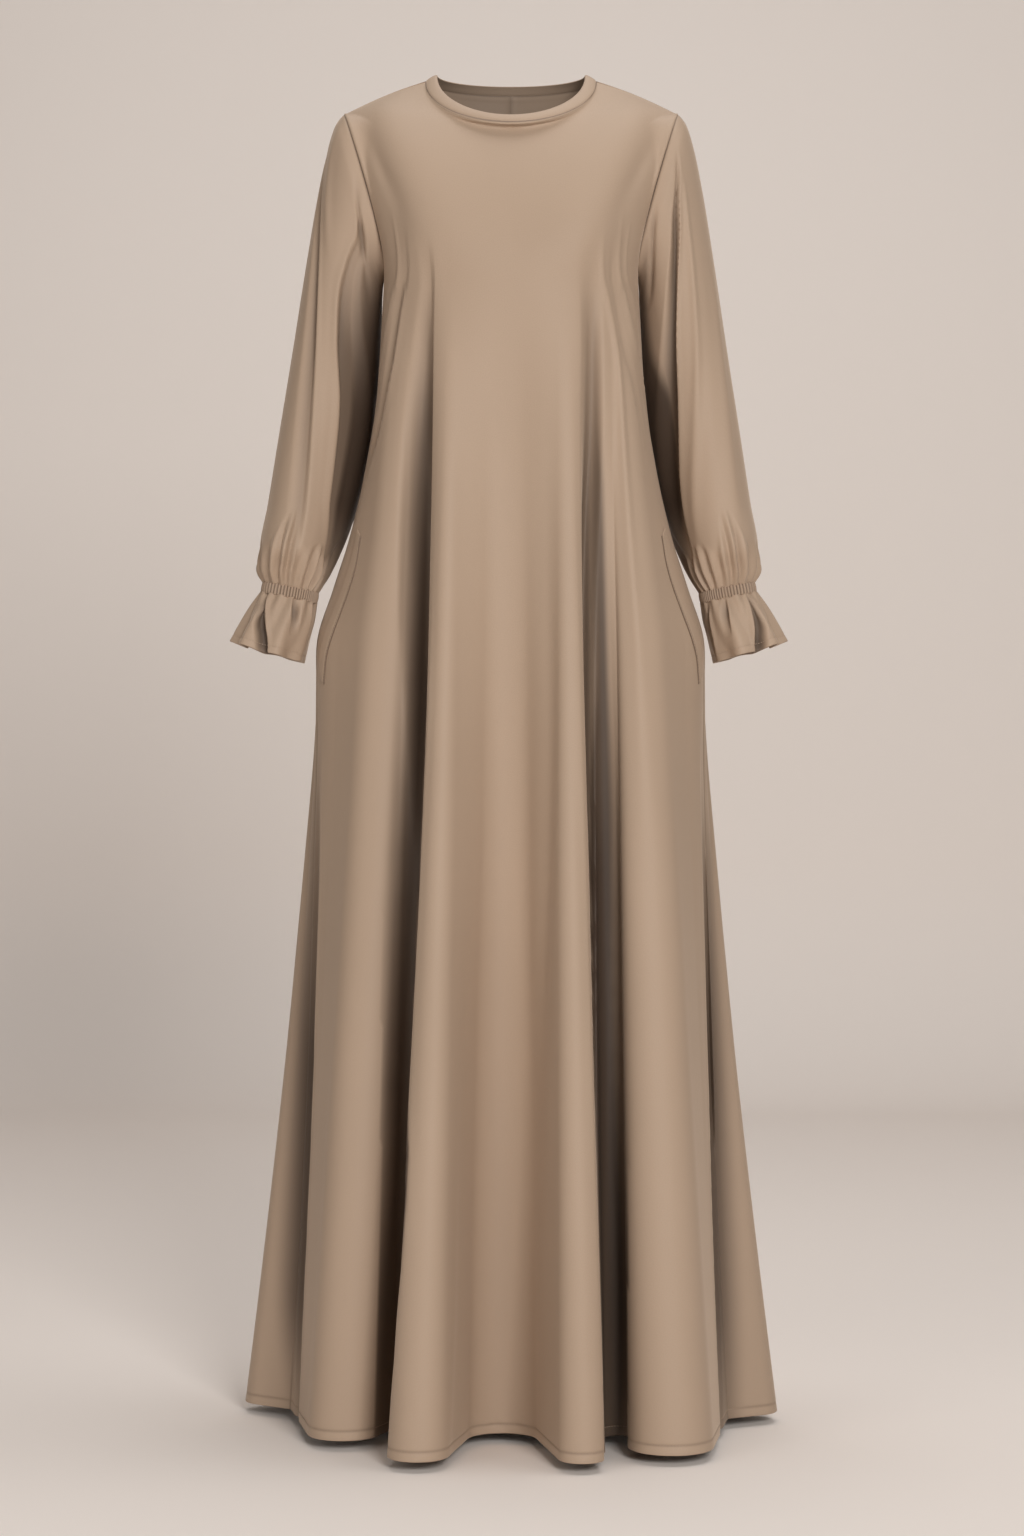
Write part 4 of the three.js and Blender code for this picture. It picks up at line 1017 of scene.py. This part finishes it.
# Across the binding from its brim (0) to the body's neck seam (1), swelling between them. The
# corner at the side of the neck is one column, the front's.
def makeBinding():
    place = body["place"]
    m = fromBack(place)
    front = m >= meets["seam"]
    share = np.where(front, (meets["front"] - m) / (meets["front"] - meets["frontNeckSide"]),
                     m / meets["backNeckSide"])
    behind = (m <= meets["backNeckSide"]) & (np.abs(m - meets["backNeckSide"]) > hair)
    keep = behind | (m >= meets["frontNeckSide"] - hair)
    share, front, place = share[keep], front[keep], place[keep]
    brim = neckLine(neckBrim, share, front)
    brim[:, 0] *= np.where(place < meets["front"], -1, 1)
    seam = body["outer"][0][keep]
    across = np.linspace(0, 1, binding["steps"])[:, None, None]
    base = mix(brim[None], seam[None], across)
    normals = gridNormals(base, True)
    swell = binding["rise"] * np.sin(math.pi * across) ** 0.5 - binding["sunk"] * across ** 8
    outer = base + normals * swell
    thick = binding["wall"] * (1 - binding["thinned"] * across ** 6)
    inner = base - normals * (thick - binding["hollow"] * np.sin(math.pi * across))
    piece = clothShell("neck_binding_cloth", outer, inner, True, mainCloth, ownMap(outer))
    wearIt(piece, "neck_binding")
    print("    binding", round(float(clothArea(outer)), 4), round(float(lengthAcross(outer)[-1, -1])))


makeBinding()


neckThread = {"pitch": 2.6, "radius": 0.28, "corner": 0.05}


# Stitches below the binding, round the neck from the centre back. Each column has them between the
# last row above their line and the next one.
def makeNeckStitches():
    m = fromBack(body["place"])
    corner = neckThread["corner"]
    columns = np.flatnonzero((m < meets["backNeckSide"] - corner) | (m > meets["frontNeckSide"] + corner))
    below = lengthDown(body["outer"])[:, columns]
    low = (below <= cloth["neckStitch"]).sum(axis=0) - 1
    each = np.arange(len(columns))
    part = (cloth["neckStitch"] - below[low, each]) / (below[low + 1, each] - below[low, each])
    sample = lambda values: mix(values[low, columns], values[low + 1, columns], part[:, None])
    sewOn(stitchRow("neck_stitches", sample(body["outer"]), sample(body["normals"]), threadFinish, True,
                    neckThread["pitch"], neckThread["radius"]))


makeNeckStitches()

print("abaya: sleeves, bands and ruffles")

sleeveRows = {
    "at": [0, 0.05, 0.12, 0.22, 0.36, 0.52, 0.68, 0.8, 0.9, 0.96, 1],
    "outX": [179, 188, 197, 207, 220, 235, 250, 260, 267.5, 267.5, 263],
    "outZ": [-41, -53, -80, -126, -202, -298, -393, -459, -506, -528, -543.5],
    "inX": [134, 137, 138.5, 139.5, 140.5, 144.5, 155, 168, 184, 195, 204],
    "inZ": [-212, -221, -234, -262, -312, -368, -425, -472, -512, -538, -555.5],
    "deep": [48, 52, 57, 62, 66, 69, 71, 71, 66, 47, 28],
    "back": [0, 1, 5, 12, 20, 26, 27, 25, 19, 14, 10],
    "inBack": [0, 6, 14, 22, 28, 32, 32, 28, 17, 8, 0],
}
ruffleRows = {
    "at": [0, 0.28, 0.64, 1],
    "outX": [265, 275, 285, 293], "outZ": [-554.3, -570, -590, -609],
    "inX": [206, 208, 214, 220], "inZ": [-566.3, -585, -608, -630],
    "deep": [28, 37, 46, 50], "back": [10, 12, 14, 15], "inBack": [0, 0, 0, 0],
}
sleeve = {
    "right": {"sign": -1, "swing": 4}, "left": {"sign": 1, "swing": -1},
    "columns": 228, "rows": 178, "closeRows": [0, 0.002, 0.0045, 0.008, 0.013], "rowsFrom": 0.02,
    "setIn": 0.06,      # the share of the length in which the armhole's edge becomes the ring
    "plainTop": 0.03, "plainEnd": 0.04,
    "gathers": 20, "gatherRise": 3.36, "gatherAtBand": 1.3, "gatherFrom": 0.87, "evenShare": 0.75,
    "seamSink": 1.3, "seamSinkWidth": 2,
    # The sleeve's painted shade: darkFold, foldShade, creaseShade and besideShare set it.
    "darkFold": 11, "foldShade": 0.8, "creaseShade": 1.5, "besideShare": 0.6,
}
# Folds and creases down each sleeve. A line has a place, in degrees from the outer edge over the
# front, at each share of the sleeve's length.
sleeveFolds = {
    "right": {
        "outer fold": {"side": -1, "rows": [
            (0.1, 9, 0, 6, 1, 12, 0, 8, 0), (0.21, 31, 3, 6, 2, 14, 0.8, 9, 0),
            (0.31, 47, 6, 6, 3, 14, 1.2, 9, 0), (0.46, 63, 6, 6, 3, 15, 1.4, 10, 0),
            (0.58, 73, 5, 6, 3, 16, 1.2, 10, 0), (0.78, 89, 4, 6, 2, 16, 1, 10, 0),
            (0.93, 101, 1, 6, 2, 12, 0.6, 8, 0), (1, 104, 0, 6, 1, 8, 0, 8, 0)]},
        "inner fold": {"side": 1, "rows": [
            (0.06, 98, 0, 8, 8, 20, 0, 9, 0), (0.13, 100, 3, 8, 8, 14, 0.5, 9, 0),
            (0.24, 90, 4, 8, 10, 18, 1.2, 10, 0), (0.33, 84, 6, 8, 20, 26, 1.6, 12, 0),
            (0.42, 88.5, 8, 8, 26, 34, 2, 12, 0), (0.54, 102.5, 8, 8, 26, 36, 2, 12, 0),
            (0.77, 116, 7, 8, 20, 36, 2, 12, 0), (0.92, 137, 3, 8, 14, 26, 1, 10, 0),
            (1, 140, 0, 8, 10, 20, 0, 9, 0)]},
        "back fold": {"side": 1, "rows": [
            (0.1, 236, 0, 6, 3, 16, 0, 10, 0), (0.3, 240, 7, 6, 5, 18, 1, 12, 0),
            (0.6, 250, 9, 6, 6, 20, 2, 12, 0), (0.85, 262, 6, 6, 4, 16, 1, 10, 0),
            (1, 268, 0, 6, 3, 14, 0, 10, 0)]},
    },
    "left": {
        "outer fold": {"side": 1, "rows": [
            (0.04, 51, 0, 6, 2, 10, 0, 8, 0), (0.08, 57, 2, 6, 3, 11, 0.4, 8, 0),
            (0.14, 70, 6, 6, 4, 14, 0.8, 9, 0), (0.2, 77, 8, 6, 5, 15, 1.2, 10, 0),
            (0.28, 87.5, 9, 6, 6, 16, 1.4, 10, 0), (0.4, 98, 9, 6, 7, 20, 1.4, 10, 0),
            (0.54, 105.5, 9, 6, 10, 26, 1.4, 10, 0), (0.76, 125, 7, 6, 10, 30, 1, 10, 0),
            (0.94, 140, 0, 6, 4, 20, 0, 8, 0)]},
        "back fold": {"side": -1, "rows": [
            (0.12, 300, 0, 6, 3, 16, 0, 10, 0), (0.34, 292, 7, 6, 5, 18, 1, 12, 0),
            (0.62, 284, 9, 6, 6, 20, 2, 12, 0), (0.86, 272, 5, 6, 4, 16, 1, 10, 0),
            (1, 266, 0, 6, 3, 14, 0, 10, 0)]},
    },
}
sleeveCreases = {
    "right": {
        "beside the armhole": [
            (0.02, 84, 0, 12), (0.06, 92, -2, 11), (0.1, 104, -3, 11), (0.18, 123, -2, 12),
            (0.26, 130, 0, 12)],
        "shoulder": [(0.02, 30, 0, 9), (0.09, 32, 1.4, 9), (0.2, 46, 1.8, 10), (0.3, 62, 0, 10)],
        "back": [(0.05, 300, 0, 14), (0.3, 296, 2.4, 12), (0.7, 290, 2.8, 12), (0.95, 286, 0, 12)],
    },
    "left": {
        "beside the armhole": [
            (0.01, 104, 0, 12), (0.05, 116, -3, 11), (0.15, 132, -3, 12), (0.25, 138, 0, 12)],
        "bright fold": [
            (0.08, 58, 0, 6), (0.17, 62, 1.6, 5.5), (0.23, 65, 2.4, 5.5), (0.33, 67.5, 2.8, 6),
            (0.45, 73, 2.8, 6), (0.57, 84, 2.6, 6), (0.77, 108, 2, 7), (0.93, 129, 0, 7)],
        "outer": [(0.3, 26, 0, 10), (0.45, 34, 1.6, 9), (0.7, 50, 2, 9), (0.9, 60, 0, 9)],
        "back": [(0.05, 240, 0, 14), (0.3, 236, 2.4, 12), (0.7, 244, 2.8, 12), (0.95, 250, 0, 12)],
    },
}


# Where each sleeve is tucked beside the body, deep shade is painted on it: foldShade rises to the
# amount between two turns and fades over the last ones. The folds' own painted shade counts in full
# up to besideTurn, and the edge folds have none from behindTurn.
besideTurn, behindTurn, shadeEnd, shadeFade = 150, 200, 250, 50
shadeRows = {"at": [0, 0.1, 0.23, 0.34, 0.53, 0.76, 0.9, 1]}
paintedSleeveShade = {
    "right": {"from": [112, 104, 90, 86, 102, 116, 134, 140],
              "to": [150, 146, 140, 134, 136, 140, 160, 170],
              "amount": [0, 0.4, 0.8, 0.9, 0.95, 0.95, 0.6, 0.2]},
    "left": {"from": [110, 122, 134, 128, 110, 124, 140, 150],
             "to": [140, 148, 156, 148, 126, 138, 160, 170],
             "amount": [0, 0.4, 0.7, 0.8, 0.95, 0.95, 0.5, 0.2]},
}


# A ring of the sleeve: angle 0 is the outer edge, a quarter turn the front.
def ringSurface(rows, at, angle, sign, shift):
    row = {key: smoothThrough(rows["at"], rows[key])(at) for key in rows if key != "at"}
    out = (1 + np.cos(angle)) / 2
    x = mix(row["inX"], row["outX"], out) + shift
    y = row["back"] + row["inBack"] * (1 - out) - row["deep"] * np.sin(angle)
    return stack(sign * x, y, mix(row["inZ"], row["outZ"], out))


# Gathers above the band: a cosine round the wrist whose folds start at uneven heights.
def gatherRelief(at, angle):
    start = sleeve["gatherFrom"] + 0.04 * np.sin(3 * angle + 1) + 0.025 * np.sin(7 * angle + 2)
    down = np.clip((at - start) / (1 - start), 0, 1)
    height = sleeve["gatherRise"] * np.sin(math.pi * down) + sleeve["gatherAtBand"] * down
    uneven = sleeve["evenShare"] + (1 - sleeve["evenShare"]) * np.sin(5 * angle + 2)
    return height * uneven * np.cos(sleeve["gathers"] * angle + 1.6 * np.sin(3 * angle) + np.sin(5 * angle))


# The armhole's seam and the last gathers have no folds or creases.
def plainEnds(at):
    return smoothStep(at / sleeve["plainTop"]) * smoothStep((1 - at) / sleeve["plainEnd"])


# How dark the sleeve is painted at each point: painted shade beside the body and in its folds, and a dark
# line along its seam.
def sleevePaintedShade(name, at, turn, folded, creased, fromTop):
    beside = {key: smoothThrough(shadeRows["at"], values)(at) for key, values in paintedSleeveShade[name].items()}
    tucked = beside["amount"] * smoothStep((turn - beside["from"]) / (beside["to"] - beside["from"]))
    tucked = tucked * smoothStep((shadeEnd - turn) / shadeFade)
    deep = folded * (turn < behindTurn) + np.maximum(-sleeve["creaseShade"] * creased, 0)
    dark = sleeve["foldShade"] * smoothStep(deep / sleeve["darkFold"])
    dark = np.maximum(dark * np.where(turn < besideTurn, 1, sleeve["besideShare"]), tucked)
    return np.maximum(dark * plainEnds(at), darkLine(fromTop, "armhole seam"))


# The sleeve starts on the armhole's edge and soon becomes its rings, with folds, creases and the
# gathers above the band.
def makeSleeve(name):
    sign, swing = sleeve[name]["sign"], sleeve[name]["swing"]
    angle = turnsRound(sleeve["columns"])
    even = np.linspace(sleeve["rowsFrom"], 1, sleeve["rows"])
    at = np.concatenate([sleeve["closeRows"], even])[:, None]
    base = ringSurface(sleeveRows, at, angle[None], sign, swing * at)
    onFront = angle <= math.pi
    edge = armholeLine(np.where(onFront, angle / math.pi, 2 - angle / math.pi), onFront)
    edge[:, 0] *= sign
    near = np.clip(1 - at / sleeve["setIn"], 0, 1)[..., None] ** 1.5
    base = base + (edge[None] - base[:1]) * near
    normals = gridNormals(base, True, -sign)
    turn, atGrid = np.degrees(angle), np.broadcast_to(at, base.shape[:2])
    folded, depth = withEdgeFolds(base, turn, atGrid, sleeveFolds[name], normals, stack(0, -1, 0))
    base = mix(base, folded, plainEnds(at)[..., None])
    normals = gridNormals(base, True, -sign)
    creased = creaseRelief(base, turn, atGrid, sleeveCreases[name])
    relief = creased * plainEnds(at) + gatherRelief(at, angle[None])
    relief = relief - sleeve["seamSink"] * bell(lengthDown(base), sleeve["seamSinkWidth"])
    outer = base + normals * relief[..., None]
    inner = outer - gridNormals(outer, True, -sign) * cloth["wall"]
    hollow = sleevePaintedShade(name, at, turn, depth, creased, lengthDown(base))
    piece = clothShell("sleeve_cloth_" + name, outer, inner, True, mainCloth, ownMap(outer), hollow=hollow)
    wearIt(piece, "sleeve_" + name)
    print("    sleeve", name, round(float(clothArea(outer)), 3))


# coarse draws the ribs apart at the outer edge of the wrist and together at the inner one.
band = {"wall": 2.4, "ribs": 56, "coarse": 0.35, "rise": 1.5, "columns": 448, "rows": 12, "bulge": 0.6,
        "inset": 0.01, "valleyShade": 0.7}


# The band between the sleeve's last ring and the ruffle's first: upright ribs and a soft swell, with shade
# painted in the ribs' valleys.
def makeBand(name):
    sign, swing = sleeve[name]["sign"], sleeve[name]["swing"]
    joined = {key: [sleeveRows[key][-1], ruffleRows[key][0]] for key in ruffleRows}
    joined["at"] = [0, 1]
    angle = turnsRound(band["columns"])
    at = np.linspace(band["inset"], 1 - band["inset"], band["rows"])[:, None]
    base = ringSurface(joined, at, angle[None], sign, swing)
    normals = gridNormals(base, True, -sign)
    swell = band["bulge"] * np.sin(math.pi * at) ** 0.6
    phase = band["ribs"] * (angle - band["coarse"] * np.sin(angle)) / 2
    ribs = band["rise"] * (np.abs(np.cos(phase)) - 0.5)[None]
    outer = base + normals * (swell + ribs)[..., None]
    inner = base - normals * band["wall"]
    # Painted shade in the ribs' valleys.
    paintedValleyShade = band["valleyShade"] * (1 - np.abs(np.cos(phase)))[None] ** 1.5
    piece = clothShell("elastic_band_" + name, outer, inner, True, elasticCloth, ownMap(outer),
                       hollow=paintedValleyShade)
    wearIt(piece, "cuff_band_" + name)
    print("    band", name, round(float(clothArea(outer)), 4))


ruffle = {"pinches": 14, "pinchRise": 1.3, "waves": 7, "waveRise": 7.5, "innerShare": 0.3, "uneven": 0.5,
          "columns": 336, "rows": 44, "hemStitch": 7, "hemWall": 1.8, "hemSink": 0.4,
          "hemSinkWidth": 1.2, "darkFold": 10, "foldShade": 0.85, "waveShade": 0.5}
ruffleFolds = {
    "right": {
        "long fold": {"side": -1, "rows": [
            (0, 50, 1.5, 3, 1, 7, 0, 6, 0), (0.13, 54, 5, 3, 2, 8, 1, 6, 0.5),
            (0.5, 70, 9, 3, 3, 11, 2, 7, 1), (0.84, 87, 8, 3, 2, 12, 1.5, 7, 1),
            (1, 92, 6, 3, 2, 12, 1, 7, 0)]},
        "short fold": {"side": 1, "rows": [
            (0, 100, 2, 3, 1, 6, 0, 6, 0), (0.2, 106, 6, 3, 2, 8, 1, 6, 0),
            (0.4, 112, 4, 3, 2, 9, 0.5, 6, 0), (0.62, 116, 0, 3, 2, 10, 0, 6, 0)]},
        "inner fold": {"side": 1, "rows": [
            (0, 150, 1, 3, 1, 8, 0, 6, 0), (0.2, 156, 5, 3, 2, 9, 1, 6, 0),
            (0.7, 160, 6, 3, 2, 10, 1, 6, 0), (1, 162, 4, 3, 2, 10, 0, 6, 0)]},
    },
    "left": {
        "long fold": {"side": -1, "rows": [
            (0, 58, 1.5, 3, 1, 7, 0, 6, 0), (0.15, 60, 5, 3, 2, 8, 1, 6, 0.5),
            (0.55, 68, 8, 3, 3, 11, 2, 7, 1), (0.86, 78, 8, 3, 2, 12, 1.5, 7, 1),
            (1, 82, 6, 3, 2, 12, 1, 7, 0)]},
        "short fold": {"side": 1, "rows": [
            (0, 96, 2, 3, 1, 6, 0, 6, 0), (0.22, 101, 6, 3, 2, 8, 1, 6, 0),
            (0.45, 106, 3, 3, 2, 9, 0.5, 6, 0), (0.66, 110, 0, 3, 2, 10, 0, 6, 0)]},
        "inner fold": {"side": 1, "rows": [
            (0, 140, 1, 3, 1, 8, 0, 6, 0), (0.24, 146, 5, 3, 2, 9, 1, 6, 0),
            (0.72, 150, 7, 3, 2, 10, 1, 6, 0), (1, 152, 5, 3, 2, 10, 0, 6, 0)]},
    },
}


# The ruffle flares from tight pinches at the band into half as many waves at its edge.
def makeRuffle(name):
    sign, swing = sleeve[name]["sign"], sleeve[name]["swing"]
    angle = turnsRound(ruffle["columns"])
    at = np.linspace(0, 1, ruffle["rows"])[:, None]
    base = ringSurface(ruffleRows, at, angle[None], sign, swing)
    normals = gridNormals(base, True, -sign)
    share = mix(ruffle["innerShare"], 1, (1 + np.cos(angle[None])) / 2)
    pinch = ruffle["pinchRise"] * (1 - at) * np.cos(ruffle["pinches"] * angle[None])
    uneven = ruffle["uneven"] * np.sin(2 * angle[None] + 1)
    wave = ruffle["waveRise"] * at * share * np.cos(ruffle["waves"] * angle[None] + uneven)
    waved = base + normals * (pinch + wave)[..., None]
    turn, atGrid = np.degrees(angle), np.broadcast_to(at, base.shape[:2])
    outer, depth = withEdgeFolds(waved, turn, atGrid, ruffleFolds[name], gridNormals(waved, True, -sign),
                                 stack(0, -1, 0))
    fromEdge = lengthDown(outer)[-1:] - lengthDown(outer)
    outerNormals = gridNormals(outer, True, -sign)
    stitched = ruffle["hemSink"] * bell(fromEdge - ruffle["hemStitch"], ruffle["hemSinkWidth"])
    outer = outer - outerNormals * stitched[..., None]
    thick = np.where(fromEdge < ruffle["hemStitch"], ruffle["hemWall"], cloth["wall"])
    inner = outer - outerNormals * thick[..., None]
    # Painted shade: darker in the ruffle's folds and in the troughs of its pinches and waves.
    depth = depth + np.maximum(-(pinch + wave), 0) * ruffle["waveShade"]
    hollow = ruffle["foldShade"] * smoothStep(depth / ruffle["darkFold"])
    piece = clothShell("wrist_ruffle_" + name, outer, inner, True, mainCloth, ownMap(outer), hollow=hollow)
    wearIt(piece, "cuff_ruffle_" + name)
    print("    ruffle", name, round(float(clothArea(outer)), 4))
    row = nearest(fromEdge.mean(axis=1), ruffle["hemStitch"])
    sewOn(stitchRow("ruffle_stitches_" + name, outer[row], outerNormals[row], threadFinish, True))


for handed in ("right", "left"):
    makeSleeve(handed)
    makeBand(handed)
    makeRuffle(handed)

print("abaya: pockets")

pocket = {
    "top": -494, "end": -649, "rows": 90, "columns": 26,
    "lineZ": [-493, -522, -552, -579, -604, -624, -649],    # the strip's front edge
    "lineOut": [158, 162, 171, 181, 191, 197, 199],
    "lineFrom": 0.02, "lineTo": 1.4, "lineSteps": 180,      # where the line is looked for, in folds
    "evenedOver": 13,                                       # rows
    "weltWide": 0.12,                                       # in folds
    "weltFrom": 0.05, "weltTo": 1.4,                        # its two walls, out from the cloth
    "slant": 9, "slantFrom": 0.4, "stitchIn": 2.2, "stitchSink": 0.7, "sinkWidth": 1.1,
    "bagTop": -460, "bagEnd": -740, "bagFrom": 0.01, "bagWide": 1.35, "bagRows": 60, "bagColumns": 40,
    "bagFront": 1.9, "bagBack": 4.6,                        # its two walls, in from the cloth
}


# Points and normals of the body's outer face at places and heights below the bust line.
def bodyAt(placeAt, heights):
    placeAt, heights = np.broadcast_arrays(placeAt, heights)
    skirt = body["outer"][cloth["yokeSteps"]:]
    walls = body["normals"][cloth["yokeSteps"]:]
    columnAt = np.interp(placeAt, body["place"], np.arange(len(body["place"])))
    rowAt = np.interp(-heights, -skirt[:, 0, 2], np.arange(len(skirt)))
    column = np.floor(columnAt).astype(int)
    row = np.clip(np.floor(rowAt).astype(int), 0, len(skirt) - 2)
    columnPart, rowPart = (columnAt - column)[..., None], (rowAt - row)[..., None]

    def sample(values):
        above = mix(values[row, column], values[row, column + 1], columnPart)
        below = mix(values[row + 1, column], values[row + 1, column + 1], columnPart)
        return mix(above, below, rowPart)

    return sample(skirt), unit(sample(walls))


# The place, on the front's side of the seam, at which the cloth is as far out as the strip's line.
def stripPlace(heights, edge, forward):
    fine = edge + forward * np.linspace(pocket["lineFrom"], pocket["lineTo"], pocket["lineSteps"])
    out = np.abs(bodyAt(fine[None], heights[:, None])[0][..., 0])
    wanted = smoothThrough(-np.array(pocket["lineZ"]), pocket["lineOut"])(-heights)
    return fine[np.argmax(out < wanted[:, None], axis=1)]


# A topstitched strip beside the seam, slanting down to the front.
def makeStrip(name, edge, forward):
    heights = np.linspace(pocket["top"], pocket["end"], pocket["rows"])
    across = np.linspace(0, 1, pocket["columns"])
    padded = np.pad(stripPlace(heights, edge, forward), pocket["evenedOver"] // 2, mode="edge")
    line = np.convolve(padded, np.ones(pocket["evenedOver"]) / pocket["evenedOver"], "valid")
    places = line[:, None] - forward * pocket["weltWide"] * (1 - across)
    slanted = heights[:, None] + pocket["slant"] * (pocket["slantFrom"] - across)
    points, normals = bodyAt(places[:, ::forward], slanted[:, ::forward])
    fromSide = lengthAcross(points) * forward
    fromSide = fromSide - fromSide.min(axis=1, keepdims=True)
    fromEdge = fromSide.max(axis=1, keepdims=True) - fromSide
    fromStitches = fromEdge - pocket["stitchIn"]
    groove = pocket["stitchSink"] * bell(fromStitches, pocket["sinkWidth"])
    outer = points + normals * (pocket["weltTo"] - groove)[..., None]
    inner = points + normals * pocket["weltFrom"]
    shade = np.maximum(darkLine(fromEdge, "strip's edge"), darkLine(fromStitches, "strip's stitches"))
    welt = clothShell("pocket_strip_" + name, outer, inner, False, mainCloth, ownMap(outer), hollow=shade)
    wearIt(welt, "pocket_welt_" + name)
    stitched = np.arange(len(points)), np.argmin(np.abs(fromStitches), axis=1)
    sewOn(stitchRow("pocket_stitches_" + name, outer[stitched], normals[stitched], threadFinish, False))


# The pouch hangs inside the front, from the seam forwards.
def makePouch(name, edge, forward):
    span = sorted((edge + forward * pocket["bagFrom"], edge + forward * pocket["bagWide"]))
    heights = np.linspace(pocket["bagTop"], pocket["bagEnd"], pocket["bagRows"])[:, None]
    points, normals = bodyAt(np.linspace(*span, pocket["bagColumns"])[None], heights)
    outer, inner = points - normals * pocket["bagFront"], points - normals * pocket["bagBack"]
    bag = clothShell("pocket_pouch_" + name, outer, inner, False, insideCloth, ownMap(outer))
    wearIt(bag, "pocket_bag_" + name)
    print("    pocket", name, round(float(clothArea(outer)), 4))


for handed, seam, forward in (("right", meets["seam"], 1), ("left", leftSeam, -1)):
    makeStrip(handed, seam, forward)
    makePouch(handed, seam, forward)
